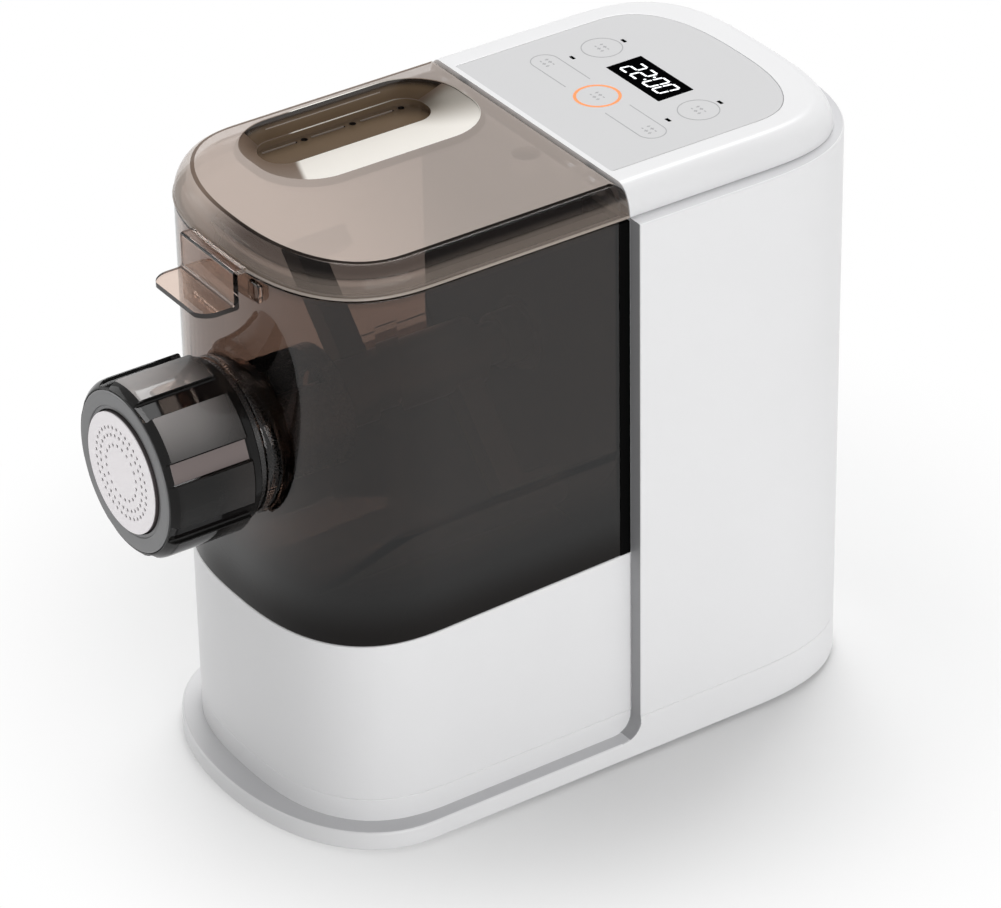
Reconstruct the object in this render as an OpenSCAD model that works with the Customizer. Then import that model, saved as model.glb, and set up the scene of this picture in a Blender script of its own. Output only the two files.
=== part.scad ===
// Electric pasta maker: white tower with drive and controls, smoky mixing
// chamber on a pedestal, and an extrusion head with a lock nut and a die.
// The extrusion head faces -Y, the width runs along X, and Z points up.

/* [Outline] */
// Half width of the mixing chamber and of the pedestal below it
front_half_w = 73; // [71:0.5:75]
// How far the tower and the foot stand proud of the chamber on each side
tower_step = 7; // [6:0.5:8]
// Length of the mixing chamber, from the joint with the tower to its front
front_len = 148.5; // [147:0.5:150]
// Length of the tower behind the joint
tower_len = 131.5; // [128:0.5:140]
// How far the foot reaches past the front of the pedestal
foot_overhang = 11; // [8:0.5:14]
// How far the die stands out past the front of the chamber
nose_len = 50; // [50:0.5:52]

/* [Heights] */
// Height of the seam between the base tray and the housings
seam_z = 21; // [19:0.5:23]
// Height of the ledge round the foot
foot_z = 10.5; // [9:0.5:12]
// Height of the pedestal top at the front
deck_front_z = 96.6; // [95:0.2:98]
// Height of the pedestal top at the tower
deck_rear_z = 100.4; // [99:0.2:101]
// Height of the rim where the lid and the top cover start
rim_z = 259.4; // [258:0.2:260]
// Height of the flat top
top_z = 272.6; // [271:0.2:274]
// Height of the screw, the output shaft and the die
axis_z = 174.3; // [174:0.1:175]

/* [Walls] */
// Wall of the white housings
wall = 2.6; // [2.2:0.1:3]
// Wall of the smoky mixing chamber
tub_wall = 2.8; // [2.4:0.1:3]
// Wall of the lid
lid_wall = 2.6; // [2.2:0.1:3]
// Gap between parts that move past each other
gap = 0.4; // [0.3:0.05:0.5]

/* [Extrusion head] */
// Radius of the screw barrel
barrel_r = 26; // [25.5:0.1:26]
// Radius of the bore that the screw turns in
screw_bore_r = 20.6; // [20.4:0.1:21]
// Rise of the screw flight in one turn
flight_pitch = 24; // [20:1:30]
// Radius of the lock nut over its grip pads
nut_r = 38; // [37.5:0.1:38.5]
// Number of grip pads round the lock nut
nut_pads = 8; // [6:1:10]
// Radius of the white face of the die
die_r = 25.9; // [25.5:0.1:25.9]
// Radius of one noodle hole
noodle_r = 0.85; // [0.7:0.05:1]

/* [Gear train] */
// Teeth of each small pinion
pinion_teeth = 13; // [13:1:13]
// Teeth of the first gear, driven by the motor pinion
gear1_teeth = 47; // [47:1:47]
// Teeth of the second gear
gear2_teeth = 38; // [38:1:38]
// Teeth of the output gear
gear3_teeth = 33; // [33:1:33]
// Module of the first pair
module1 = 1.25; // [1.25:0.05:1.25]
// Module of the second pair
module2 = 1.5; // [1.5:0.05:1.5]
// Module of the third pair
module3 = 1.75; // [1.75:0.05:1.75]

/* [Hidden] */
$fn = 64;

// The origin is under the middle of the whole length
nose_y = -(front_len + nose_len);
joint_y = -(nose_y + tower_len) / 2;
tower_half_w = front_half_w + tower_step;

// Outlines: half width, depth of the round end, its squareness, and its reach
arc_steps = 36;
function lerp(a, b, f) = a + (b - a) * f;
function mix(p, q, f) = [for (i = [0 : len(p) - 1]) lerp(p[i], q[i], f)];
function spow(v, p) = sign(v) * pow(abs(v), p);
function inset(o, t) = [o[0] - t, o[1] - t, o[2], o[3] - t];
chamber_plan = [front_half_w, 56.8, 2.59, front_len];
foot_plan = [tower_half_w, 54, 2.13, front_len + foot_overhang];
tower_plan = [tower_half_w, 75.9, 2.86, tower_len];
crown_plan = [front_half_w, 62, 3.25, tower_len - tower_step];
shoulder_in = 8.5;
lid_top_plan = [front_half_w - shoulder_in, 38.7, 2.3, front_len - shoulder_in];
crown_top_plan = inset(crown_plan, shoulder_in);
panel_plan = [56.5, 32, 2.6, 105.8];

// A plan as points, counterclockwise from above, straight sides at the joint
function round_end(o, dir) = [for (i = [0 : arc_steps]) let (t = 180 * i / arc_steps)
    [dir * o[0] * spow(cos(t), 2 / o[2]),
     dir * (o[3] - o[1] + o[1] * pow(abs(sin(t)), 2 / o[2]))]];
function front_points(o, y = 0) = concat([[-o[0], y]], round_end(o, -1), [[o[0], y]]);
function rear_points(o, y = 0) = concat([[o[0], y]], round_end(o, 1), [[-o[0], y]]);
function raise(points, z) = [for (p = points) [p[0], p[1], z]];

// A closed solid through level rings of points with the same count
module skin(rings) {
    n = len(rings[0]);
    last = len(rings) - 1;
    sides = [for (k = [0 : last - 1], j = [0 : n - 1], half = [0, 1])
        let (a = k * n + j, b = k * n + (j + 1) % n)
        half == 0 ? [a, a + n, b + n] : [a, b + n, b]];
    caps = [[for (j = [0 : n - 1]) j], [for (j = [n - 1 : -1 : 0]) last * n + j]];
    polyhedron([for (ring = rings) for (p = ring) p], concat(sides, caps));
}
module front_prism(o, z0, z1, y = 0) {
    translate([0, 0, z0]) linear_extrude(z1 - z0) polygon(front_points(o, y));
}
module rear_prism(o, z0, z1, y = 0) {
    translate([0, 0, z0]) linear_extrude(z1 - z0) polygon(rear_points(o, y));
}
// A flat shape drawn in X and Z, from y0 to y1
module along_y(y0, y1) translate([0, y1, 0]) rotate([90, 0, 0]) linear_extrude(y1 - y0) children();
module rod_y(y0, y1, r) translate([0, y0, 0]) rotate([-90, 0, 0]) cylinder(r = r, h = y1 - y0);
module tube_y(y0, y1, r, bore) along_y(y0, y1) difference() {
    circle(r);
    circle(bore);
}
module rod_z(z0, z1, r) translate([0, 0, z0]) cylinder(r = r, h = z1 - z0);
module box(x0, x1, y0, y1, z0, z1) translate([x0, y0, z0]) cube([x1 - x0, y1 - y0, z1 - z0]);
module at_joint() translate([0, joint_y, 0]) children();
module on_axis() translate([0, joint_y, axis_z]) children();
module places(list) for (p = list) translate([p[0], p[1], 0]) children();
module rounded_rect(x0, x1, y0, y1, r) {
    translate([x0 + r, y0]) square([x1 - x0 - 2 * r, y1 - y0]);
    translate([x0, y0 + r]) square([x1 - x0, y1 - y0 - 2 * r]);
    for (x = [x0 + r, x1 - r], y = [y0 + r, y1 - r]) translate([x, y]) circle(r);
}

// ---- Base and housings -------------------------------------------------
floor_z0 = 1.6;
floor_z1 = 4.2;
foot_places = [[-56, -112], [56, -112], [-56, 98], [56, 98]];
front_posts = [[-67, -70], [67, -70], [-36, -138.5], [36, -138.5]];
rear_posts = [[-73.5, 40], [73.5, 40], [-40, 121], [40, 121]];
post_places = concat(front_posts, rear_posts);
damper_places = [[-27, -44], [27, -44], [-27, -24], [27, -24]];

module floor_slots() for (k = [-4 : 4]) translate([k * 9, -78, 0]) linear_extrude(10)
    rounded_rect(-1.6, 1.6, -16, 16, 1.5);

// The step of the tower runs down into the ledge of the foot in a round corner
foot_edge = 1;
fillet_r = seam_z - foot_z - 1.5;
module step_fillet(s) difference() {
    box(min(s * 70, s * tower_half_w), max(s * 70, s * tower_half_w), -fillet_r, 0.5,
        foot_z - foot_edge, foot_z + fillet_r);
    translate([s * 75 - 10, -fillet_r, foot_z + fillet_r]) rotate([0, 90, 0]) cylinder(r = fillet_r, h = 20);
}
module base_tray() color("#eeeeee") at_joint() difference() {
    union() {
        rear_prism(tower_plan, floor_z0, seam_z);
        front_prism(foot_plan, floor_z0, foot_z - foot_edge);
        skin([raise(front_points(foot_plan), foot_z - foot_edge),
            raise(front_points(inset(foot_plan, foot_edge)), foot_z)]);
        front_prism(chamber_plan, floor_z0, seam_z);
        for (s = [-1, 1]) step_fillet(s);
    }
    difference() {
        union() {
            rear_prism(inset(tower_plan, wall), floor_z1, seam_z + 1, wall);
            front_prism(inset(chamber_plan, wall), floor_z1, seam_z + 1);
            box(-duct_half_w, duct_half_w, -1, wall + 1, floor_z1, seam_z + 1);
        }
        places(post_places) rod_z(floor_z0, seam_z, 4.5);
        places(damper_places) rod_z(floor_z0, floor_z1 + 4, 7);
    }
    places(post_places) {
        rod_z(0, seam_z + 1, 1.9);
        rod_z(0, floor_z1 + 2.4, 3.6);
    }
    places(damper_places) rod_z(floor_z0 + 1, 10, 1.8);
    places(foot_places) rod_z(0, floor_z0 + 1, 9.4);
    floor_slots();
}

module rubber_feet() color("#3c3c3e") at_joint() places(foot_places) {
    rod_z(0, floor_z0 + 1, 9);
}

bulkhead_y = wall;
duct_half_w = 62;
lug_x = 50;
lug_z = 232;
case_ears = [[-41, 92], [41, 92], [-41, 168], [41, 168]];
cover_posts = [[-61, 60], [61, 60], [-36, 106], [36, 106]];
board_posts = [[-45, 77], [45, 77], [-45, 171], [45, 171]];
cover_tab_z = 253.2;

vent_z = 62;
module vent_slots() for (k = [-5 : 5]) translate([k * 8, tower_len - 20, vent_z]) rotate([-90, 0, 0])
    linear_extrude(30) rounded_rect(-1.5, 1.5, -12, 12, 1.4);

module rear_housing() color("#f0f0f0") at_joint() difference() {
    union() {
        difference() {
            rear_prism(tower_plan, seam_z, rim_z);
            rear_prism(inset(tower_plan, wall), seam_z - 1, rim_z - wall, bulkhead_y);
            rear_prism(inset(crown_plan, wall + 0.5), rim_z - 10, rim_z + 1, bulkhead_y);
        }
        places(rear_posts) rod_z(seam_z, seam_z + 24, 4.5);
        for (e = case_ears) translate([e[0], 0, e[1]]) rod_y(1, 6, 5);
        intersection() {
            rear_prism(inset(tower_plan, 1), seam_z, rim_z);
            union() {
                for (s = [-1, 1]) {
                    box(min(s * 55, s * 80), max(s * 55, s * 80), 54, 66, cover_tab_z, rim_z - wall);
                    box(s * 36 - 6, s * 36 + 6, 100, 131, cover_tab_z, rim_z - wall);
                }
                for (p = board_posts) translate([p[0], 0, p[1]]) rod_y(power_y + pcb, 131, 4);
            }
        }
    }
    places(cover_posts) rod_z(cover_tab_z - 1, rim_z, 1.7);
    for (p = board_posts) translate([p[0], 0, p[1]]) rod_y(power_y, power_y + 14, 1.5);
    box(-duct_half_w, duct_half_w, -1, bulkhead_y + 1, seam_z - 1, 92);
    translate([0, 0, axis_z]) rod_y(-1, 8, 11.2);
    for (s = [-1, 1]) box(s * lug_x - 6.5, s * lug_x + 6.5, -1, 4, lug_z - 3.5, lug_z + 3.5);
    places(rear_posts) rod_z(seam_z - 1, seam_z + 18, 1.5);
    for (e = case_ears) translate([e[0], 0, e[1]]) rod_y(-1, 7, 1.5);
    vent_slots();
    translate([0, 0, inlet_z]) along_y(tower_len - 30, tower_len + 2) inlet_section();
}

// The pedestal top rises a little towards the tower
deck_slope = atan((deck_rear_z - deck_front_z) / front_len);
module below_deck(drop = 0) translate([0, 0, deck_rear_z - drop]) rotate([deck_slope, 0, 0])
    translate([-200, -300, -200]) cube([400, 400, 200]);

module front_pedestal() color("#eeeeee") at_joint() difference() {
    union() {
        difference() {
            intersection() {
                front_prism(chamber_plan, seam_z, 110);
                below_deck();
            }
            intersection() {
                front_prism(inset(chamber_plan, wall), seam_z - 1, 110, 1);
                below_deck(wall);
            }
        }
        places(front_posts) rod_z(seam_z, seam_z + 24, 4.5);
    }
    places(front_posts) rod_z(seam_z - 1, seam_z + 18, 1.5);
}

// Shoulder of the lid and of the top cover: a quarter ellipse
function shoulder(f) = [shoulder_in * (1 - cos(90 * f)), (top_z - rim_z) * sin(90 * f)];
shoulder_steps = [for (i = [0 : 5]) i / 5];
function crown_rings(t) = [for (f = shoulder_steps) let (s = shoulder(f))
    raise(rear_points(inset(crown_plan, s[0] + t), t), rim_z + s[1] - t)];

panel_depth = 2.2;
module top_cover() color("#f0f0f0") at_joint() difference() {
    union() {
        skin(crown_rings(0));
        rear_prism(inset(crown_plan, wall + 0.7), rim_z - 2.4, rim_z + 1, bulkhead_y + 0.2);
    }
    difference() {
        union() {
            rear_prism(inset(crown_plan, wall + 3), rim_z - 7, rim_z + 3, bulkhead_y + 3);
            rear_prism(inset(crown_top_plan, 3), rim_z - 7, top_z - panel_depth - 2, bulkhead_y + 3);
        }
        places(cover_posts) rod_z(rim_z - wall, top_z, 4);
        places(key_board_posts) rod_z(board_z + pcb, top_z, 3);
    }
    rear_prism(panel_plan, top_z - panel_depth, top_z + 1, 2);
    rear_prism(inset(panel_plan, 14), top_z - 8, top_z, 12);
    places(cover_posts) rod_z(rim_z - 7, top_z - 6, 1.4);
    places(key_board_posts) rod_z(board_z, board_z + 8, 1.3);
}

// ---- Controls ------------------------------------------------------------
display_y = 61.8;
display_w = 37.6;
display_d = 18;
key_y = 35.3;
key_r = 9.4;
side_key_x = 34.4;
dot_places = [[-34.2, 72.9], [34.2, 72.9], [-34.2, 46.6], [34.2, 46.6]];
key_places = [[0, key_y], [-side_key_x, display_y], [side_key_x, display_y], [-34, key_y], [34, key_y]];
board_z = top_z - 14;
pcb = 1.6;
key_board_posts = [[-46, 18], [46, 18], [-46, 94], [46, 94]];

ring_depth = 1.4;
module key_ring_2d() difference() {
    circle(key_r + 0.7);
    circle(key_r - 0.7);
}
module control_panel() color("#d6d6d6") at_joint() difference() {
    rear_prism(inset(panel_plan, 0.1), top_z - panel_depth, top_z - 0.1, 2.1);
    translate([0, display_y, top_z - 5]) linear_extrude(10) square([display_w, display_d], center = true);
    translate([0, key_y, top_z - ring_depth]) linear_extrude(10) key_ring_2d();
    places(dot_places) translate([-1.6, -0.8, top_z - 5]) cube([3.2, 1.6, 10]);
}
module display_window() color("#101010") at_joint() translate([0, display_y, top_z - panel_depth])
    linear_extrude(panel_depth - 0.1) square([display_w, display_d], center = true);
module start_key_ring() color("#e08a4a") at_joint() translate([0, key_y, top_z - ring_depth])
    linear_extrude(ring_depth - 0.1) key_ring_2d();
module indicator_lenses() color("#202020") at_joint() places(dot_places)
    translate([-1.6, -0.8, top_z - panel_depth]) cube([3.2, 1.6, panel_depth - 0.1]);
module control_board() color("#2c6b45") at_joint() difference() {
    box(-50, 50, 14, 98, board_z, board_z + pcb);
    places(key_board_posts) rod_z(board_z - 1, board_z + 3, 1.6);
}
module display_module() color("#1c1c1e") at_joint()
    box(-18, 18, display_y - 8, display_y + 8, board_z + pcb, top_z - panel_depth - 0.2);
spring_turns = 4;
spring_pitch = (top_z - panel_depth - board_z - pcb) / spring_turns;
module touch_springs() color("#c9c9cc") at_joint() places(key_places)
    translate([0, 0, board_z + pcb]) rotate_extrude() translate([2.6, 0]) difference() {
        square([1.2, spring_turns * spring_pitch]);
        for (k = [0 : spring_turns - 1]) translate([0.5, 0.6 + k * spring_pitch])
            square([1, spring_pitch - 1.2]);
    }
module reed_switch() color("#7a2f2f") at_joint()
    box(magnet_x - 9, magnet_x + 9, bulkhead_y + 3, bulkhead_y + 7, rim_z + 3, rim_z + 7);
module board_screws() color("#b8b8bc") at_joint() {
    places(key_board_posts) {
        rod_z(board_z - 2, board_z, 2.8);
        rod_z(board_z, board_z + 7, 1.3);
    }
    for (p = board_posts) translate([p[0], 0, p[1]]) {
        rod_y(power_y - 2.2, power_y, 3);
        rod_y(power_y, power_y + 12, 1.5);
    }
}

// ---- Power electronics and inlet ------------------------------------------
inlet_z = 34;
power_y = 92;
module power_board() color("#3a6d4a") at_joint() difference() {
    box(-50, 50, power_y, power_y + pcb, 72, 176);
    for (p = board_posts) translate([p[0], 0, p[1]]) rod_y(power_y - 1, power_y + 3, 1.7);
}
module board_components() color("#30343a") at_joint() {
    box(-44, -16, power_y - 26, power_y, 82, 112);
    box(-8, 12, power_y - 17, power_y, 84, 100);
    translate([30, 0, 96]) rod_y(power_y - 28, power_y, 9);
    translate([-34, 0, 132]) rod_y(power_y - 20, power_y, 7);
    box(-14, 16, power_y - 12, power_y, 118, 134);
    box(-30, 30, power_y - 9, power_y, 158, 168);
}
module heat_sink() color("#b4b6ba") at_joint() {
    box(26, 30, power_y - 24, power_y, 116, 150);
    for (k = [0 : 4]) box(30, 42, power_y - 24 + k * 5, power_y - 22 + k * 5, 116, 150);
}
module mains_inlet() color("#26262a") at_joint() translate([0, 0, inlet_z]) difference() {
    union() {
        along_y(tower_len - 26, tower_len - 0.8) inlet_section();
        along_y(tower_len - 6, tower_len - 3) translate([-17, -11.8]) square([34, 23.6]);
    }
    along_y(tower_len - 22, tower_len) translate([-11.6, -7.8]) square([23.2, 15.6]);
    along_y(tower_len - 27, tower_len) pin_sections();
}
module inlet_section() translate([-13.8, -9.8]) square([27.6, 19.6]);
module pin_sections() for (p = [[-7, -4.5], [0, -1], [7, -4.5]]) translate([p[0] - 2, p[1] - 1])
    square([4, 2]);
module inlet_pins() color("#c8b070") at_joint() translate([0, 0, inlet_z])
    along_y(tower_len - 30, tower_len - 9) pin_sections();

// ---- Motor ---------------------------------------------------------------
function pair_distance(m, big) = m * (pinion_teeth + big) / 2;
gear2_z = axis_z - pair_distance(module3, gear3_teeth);
gear1_z = gear2_z - pair_distance(module2, gear2_teeth);
motor_z = gear1_z - pair_distance(module1, gear1_teeth);
stator_half = 30;
bore_r = 17;
rotor_r = 16.6;
motor_shaft_r = 4;
bolt_xz = 25.5;

module on_motor() translate([0, joint_y, motor_z]) children();
module motor_bolt_places() for (x = [-bolt_xz, bolt_xz], z = [-bolt_xz, bolt_xz]) translate([x, 0, z])
    children();

module stator_core() color("#8d9096") on_motor() difference() {
    along_y(-96, -52) difference() {
        square(2 * stator_half, center = true);
        circle(bore_r);
        for (a = [0 : 30 : 330]) rotate(a) translate([bore_r + 4.5, 0]) circle(2.6);
    }
    motor_bolt_places() rod_y(-100, -40, 2.2);
}
module stator_windings() color("#b06a35") on_motor() for (y = [-104, -52])
    tube_y(y, y + 8, 25, 19.5);
module end_bell(y0, y1) difference() {
    union() {
        along_y(y0, y1) difference() {
            square(2 * stator_half, center = true);
            for (a = [45 : 90 : 315]) rotate(a) translate([17.5, 0]) circle(5);
        }
        rod_y(y0 - 4, y1 + 4, 9);
    }
    rod_y(y0 - 5, y1 + 5, 7);
    motor_bolt_places() rod_y(y0 - 1, y1 + 1, 2.2);
}
module front_end_bell() color("#9a9ca0") on_motor() {
    end_bell(-112, -108);
    motor_bolt_places() tube_y(-108, -96, 4, 2.2);
}
module rear_end_bell() color("#9a9ca0") on_motor() {
    end_bell(-40, -36);
    motor_bolt_places() tube_y(-52, -40, 4, 2.2);
}
module motor_bushes() color("#b5894f") on_motor() {
    tube_y(-116, -104, 7, motor_shaft_r + 0.05);
    tube_y(-44, -32, 7, motor_shaft_r + 0.05);
}
module motor_bolts() color("#b8b8bc") on_motor() motor_bolt_places() {
    rod_y(-112, -30, 2);
    rod_y(-115, -112, 3.6);
}
bracket_y = -36;
bracket_foot_z = 12.4 - motor_z;
module motor_bracket() color("#a7aab0") on_motor() {
    difference() {
        along_y(bracket_y, bracket_y + 3) translate([-32, bracket_foot_z])
            square([64, stator_half - bracket_foot_z]);
        rod_y(bracket_y - 1, bracket_y + 4, 10.5);
        motor_bolt_places() rod_y(bracket_y - 1, bracket_y + 4, 2.2);
    }
    difference() {
        box(-34, 34, -50, -18, bracket_foot_z, bracket_foot_z + 3);
        places(damper_places) rod_z(bracket_foot_z - 1, bracket_foot_z + 4, 2);
    }
}
module motor_dampers() color("#2b2b2d") at_joint() places(damper_places)
    difference() {
        rod_z(floor_z1 + 4, 12.4, 6);
        rod_z(floor_z1, 13, 2);
    }
module bracket_screws() color("#b8b8bc") at_joint() places(damper_places) {
    rod_z(15.4, 17.6, 4.4);
    rod_z(3, 15.4, 1.8);
}
module rotor_core() color("#85888e") on_motor() difference() {
    rod_y(-96, -52, rotor_r);
    rod_y(-97, -51, motor_shaft_r);
}
module rotor_shaft() color("#c4c6ca") on_motor() rod_y(-130, 20, motor_shaft_r);
module cooling_fan() color("#4a4c50") on_motor() {
    tube_y(-129, -119, 7.5, motor_shaft_r);
    tube_y(-121, -119, 24, 7);
    for (a = [0 : 40 : 320]) rotate([0, a, 0]) box(7, 23.5, -129, -120, -0.8, 0.8);
}

// ---- Gearbox ---------------------------------------------------------------
case_y0 = 6;
case_y1 = 46;
plate = 3;
case_r = 36;
case_low = 81;
stage1 = [11, 19];
stage2 = [21, 30];
stage3 = [32, 43];
pin_r = 3;
pin_bore = 3.05;
hub_r = 5.5;
output_r = 7;
output_hub_r = 9.5;

// Involute gear outline, with a tooth centred on the angle given
pressure = 20;
function inv(a) = tan(a) * 180 / PI - a;
function tooth_half(n, m, r) = let (rb = n * m * cos(pressure) / 2, q = min(1, rb / r))
    90 / n - 3.2 / n + inv(pressure) - inv(acos(q));
function tooth(n, m, at) = let (
        root = n * m / 2 - 1.2 * m,
        tip = n * m / 2 + 0.8 * m,
        radii = [root, n * m / 2 - 0.55 * m, n * m / 2, n * m / 2 + 0.45 * m, tip],
        up = [for (r = radii) let (h = tooth_half(n, m, r)) [r, at - h]],
        down = [for (i = [len(radii) - 1 : -1 : 0]) let (h = tooth_half(n, m, radii[i])) [radii[i], at + h]])
    [for (p = concat(up, down)) [p[0] * cos(p[1]), p[0] * sin(p[1])]];
module gear_2d(n, m, at) polygon([for (k = [0 : n - 1]) for (p = tooth(n, m, at + 360 * k / n)) p]);
module pinion_tooth_up(m) gear_2d(pinion_teeth, m, 90);
module gear_gap_down(n, m) gear_2d(n, m, -90 + 180 / n);

module case_outline(r) {
    translate([0, case_low]) circle(r);
    translate([0, axis_z]) circle(r);
    translate([-r, case_low]) square([2 * r, axis_z - case_low]);
}
rim_screws = [[-33.5, 62], [33.5, 62], [-38, 120], [38, 120], [-32, 195], [32, 195]];

module gearbox_case() color("#5a5d62") at_joint() difference() {
    union() {
        along_y(case_y0, case_y1) case_outline(case_r);
        for (p = rim_screws) translate([p[0], 0, p[1]]) rod_y(case_y0, case_y1, 4);
        for (e = case_ears) translate([e[0], 0, e[1]]) rod_y(case_y0, case_y0 + 6, 6);
        translate([0, 0, axis_z]) rod_y(bulkhead_y + 0.2, case_y0 + 1, 11);
    }
    along_y(case_y0 + plate, case_y1 + 1) case_outline(case_r - plate);
    for (p = rim_screws) translate([p[0], 0, p[1]]) rod_y(case_y1 - 16, case_y1 + 1, 1.5);
    for (e = case_ears) translate([e[0], 0, e[1]]) rod_y(case_y0 - 1, case_y0 + 7, 1.9);
    translate([0, 0, axis_z]) rod_y(0, case_y0 + 10, 10);
    translate([0, 0, motor_z]) rod_y(case_y0 - 1, case_y0 + 10, 7);
    for (z = [gear1_z, gear2_z]) translate([0, 0, z]) rod_y(case_y0 - 1, case_y0 + 10, pin_r);
}
module gearbox_cover() color("#54575c") at_joint() difference() {
    union() {
        along_y(case_y1, case_y1 + plate) case_outline(case_r);
        for (p = rim_screws) translate([p[0], 0, p[1]]) rod_y(case_y1, case_y1 + plate, 4);
        translate([0, 0, axis_z]) rod_y(case_y1, case_y1 + 9, 13);
        for (z = [gear1_z, gear2_z]) translate([0, 0, z]) rod_y(case_y1, case_y1 + 6, 6);
    }
    for (p = rim_screws) translate([p[0], 0, p[1]]) rod_y(case_y1 - 1, case_y1 + 4, 1.9);
    translate([0, 0, axis_z]) rod_y(case_y1 - 1, case_y1 + 8, 10);
    for (z = [gear1_z, gear2_z]) translate([0, 0, z]) rod_y(case_y1 - 1, case_y1 + 5, pin_r);
}
module gearbox_screws() color("#b8b8bc") at_joint() {
    for (p = rim_screws) translate([p[0], 0, p[1]]) {
        rod_y(case_y1 + plate, case_y1 + plate + 2.4, 3.4);
        rod_y(case_y1 - 12, case_y1 + plate, 1.5);
    }
    for (e = case_ears) translate([e[0], 0, e[1]]) {
        rod_y(case_y0 + 6, case_y0 + 8.4, 3.6);
        rod_y(1, case_y0 + 6, 1.5);
    }
}
module gear_pins() color("#c4c6ca") at_joint() for (z = [gear1_z, gear2_z])
    translate([0, 0, z]) rod_y(case_y0, case_y1 + 5, pin_r);
module output_bushes() color("#b5894f") on_axis() {
    tube_y(bulkhead_y + 0.4, case_y0 + plate, 10, output_r + 0.05);
    tube_y(case_y1, case_y1 + 8, 10, output_r + 0.05);
}
module compound_gear(z, big, m_big, wide, m_small, narrow) translate([0, joint_y, z]) difference() {
    union() {
        along_y(wide[0], wide[1]) gear_gap_down(big, m_big);
        along_y(wide[1], narrow) pinion_tooth_up(m_small);
        rod_y(case_y0 + plate + 0.4, case_y1 - 0.4, hub_r);
    }
    rod_y(case_y0, case_y1 + 1, pin_bore);
}
module first_gear() color("#d9d4c4")
    compound_gear(gear1_z, gear1_teeth, module1, stage1, module2, stage2[1] + 0.5);
module second_gear() color("#d9d4c4")
    compound_gear(gear2_z, gear2_teeth, module2, stage2, module3, stage3[1] + 0.5);
module motor_pinion() color("#a9abb0") on_motor() difference() {
    along_y(stage1[0] - 0.5, stage1[1] + 0.5) pinion_tooth_up(module1);
    rod_y(0, 30, motor_shaft_r);
}
module output_gear() color("#d9d4c4") on_axis() difference() {
    union() {
        along_y(stage3[0], stage3[1]) gear_gap_down(gear3_teeth, module3);
        rod_y(case_y0 + plate + 0.4, case_y1 - 0.4, output_hub_r);
    }
    rod_y(0, 60, output_r);
}
hex_male = 5.6;
module output_shaft() color("#c4c6ca") on_axis() {
    rod_y(-1, case_y1 + 7.6, output_r);
    along_y(-15, -1) circle(hex_male, $fn = 6);
}

// ---- Mixing chamber ----------------------------------------------------------
back_y0 = -5.3;
back_y1 = -0.3;
tub_top = rim_z - 0.7;
trough_r = 75;
trough_z = 180;
seat_y = -front_len;
deck_gap = 0.2;

module trough_shape(r, z_low) {
    translate([0, trough_z]) circle(r);
    translate([-120, z_low]) square([240, 200]);
}
module mixing_chamber() color([0.33, 0.29, 0.26, 0.6]) at_joint() difference() {
    union() {
        difference() {
            front_prism(chamber_plan, 90, tub_top, back_y0);
            below_deck(-deck_gap);
            front_prism(inset(chamber_plan, tub_wall), 80, tub_top + 1, 1);
        }
        difference() {
            intersection() {
                front_prism(inset(chamber_plan, tub_wall / 2), 90, 170, back_y0);
                along_y(-front_len, back_y0) difference() {
                    trough_shape(trough_r + 2.5, 152);
                    trough_shape(trough_r, 150);
                    translate([-120, 170]) square([240, 200]);
                }
            }
            below_deck(-deck_gap);
        }
        intersection() {
            front_prism(inset(chamber_plan, tub_wall / 2), 90, 170, back_y0);
            along_y(-114, -110) difference() {
                translate([-120, 100]) square([240, 52]);
                trough_shape(trough_r + 1, 151);
            }
        }
        translate([0, 0, axis_z]) rod_y(seat_y - 1.6, seat_y + 6.5, 34);
        translate([0, 0, axis_z]) rod_y(seat_y + 4, seat_y + 14, barrel_r + 3);
        box(23, 31, seat_y - 0.6, seat_y + 3.5, 250, 258);
    }
    translate([0, 0, axis_z]) rod_y(seat_y - 20, seat_y + 30, barrel_r);
}
module chamber_back() color("#161616") at_joint() difference() {
    union() {
        intersection() {
            box(-front_half_w, front_half_w, back_y0, back_y1, 90, tub_top - 0.6);
            difference() {
                translate([-200, -20, 0]) cube([400, 40, 300]);
                below_deck(-deck_gap);
            }
        }
        for (s = [-1, 1]) box(s * lug_x - 6, s * lug_x + 6, back_y1 - 1, 3.4, lug_z - 3, lug_z + 3);
        for (s = [-1, 1]) translate([s * ear_x, 0, 0]) {
            box(-3, 3, hinge_y - 2.5, hinge_y + 2.5, tub_top - 8, hinge_z);
            translate([-3, hinge_y, hinge_z]) rotate([0, 90, 0]) cylinder(r = 2.5, h = 6);
        }
    }
    translate([0, 0, axis_z]) rod_y(-10, 5, 16);
    for (s = [-1, 1]) translate([s * ear_x - 5, hinge_y, hinge_z]) rotate([0, 90, 0])
        cylinder(r = 1.3, h = 10);
}
module shaft_seal() color("#7d3a2c") on_axis() tube_y(back_y0 - 2, back_y1, 16, 12.4);

module screw_barrel() color("#1d1b1a") on_axis() difference() {
    union() {
        rod_y(seat_y - 39.5, seat_y + 45.5, barrel_r);
        rod_y(seat_y - 4.6, seat_y - 2, 33);
        intersection() {
            rod_y(seat_y - 24, seat_y - 18.5, 29);
            along_y(seat_y - 30, seat_y) for (a = [90, 210, 330]) rotate(a)
                polygon([[0, 0], [60, -60 * tan(25)], [60, 60 * tan(25)]]);
        }
    }
    rod_y(seat_y - 50, seat_y + 42, screw_bore_r);
    rod_y(seat_y + 40, seat_y + 50, 15);
    box(-16, 16, seat_y + 12, seat_y + 38, 0, 40);
}
module barrel_gasket() color("#8a8a8a") on_axis() tube_y(seat_y - 2, seat_y - 1.6, 32, barrel_r);
module die_gasket() color("#c8c8c8") on_axis() tube_y(seat_y - 40.5, seat_y - 39.5, 28, 22);

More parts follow.
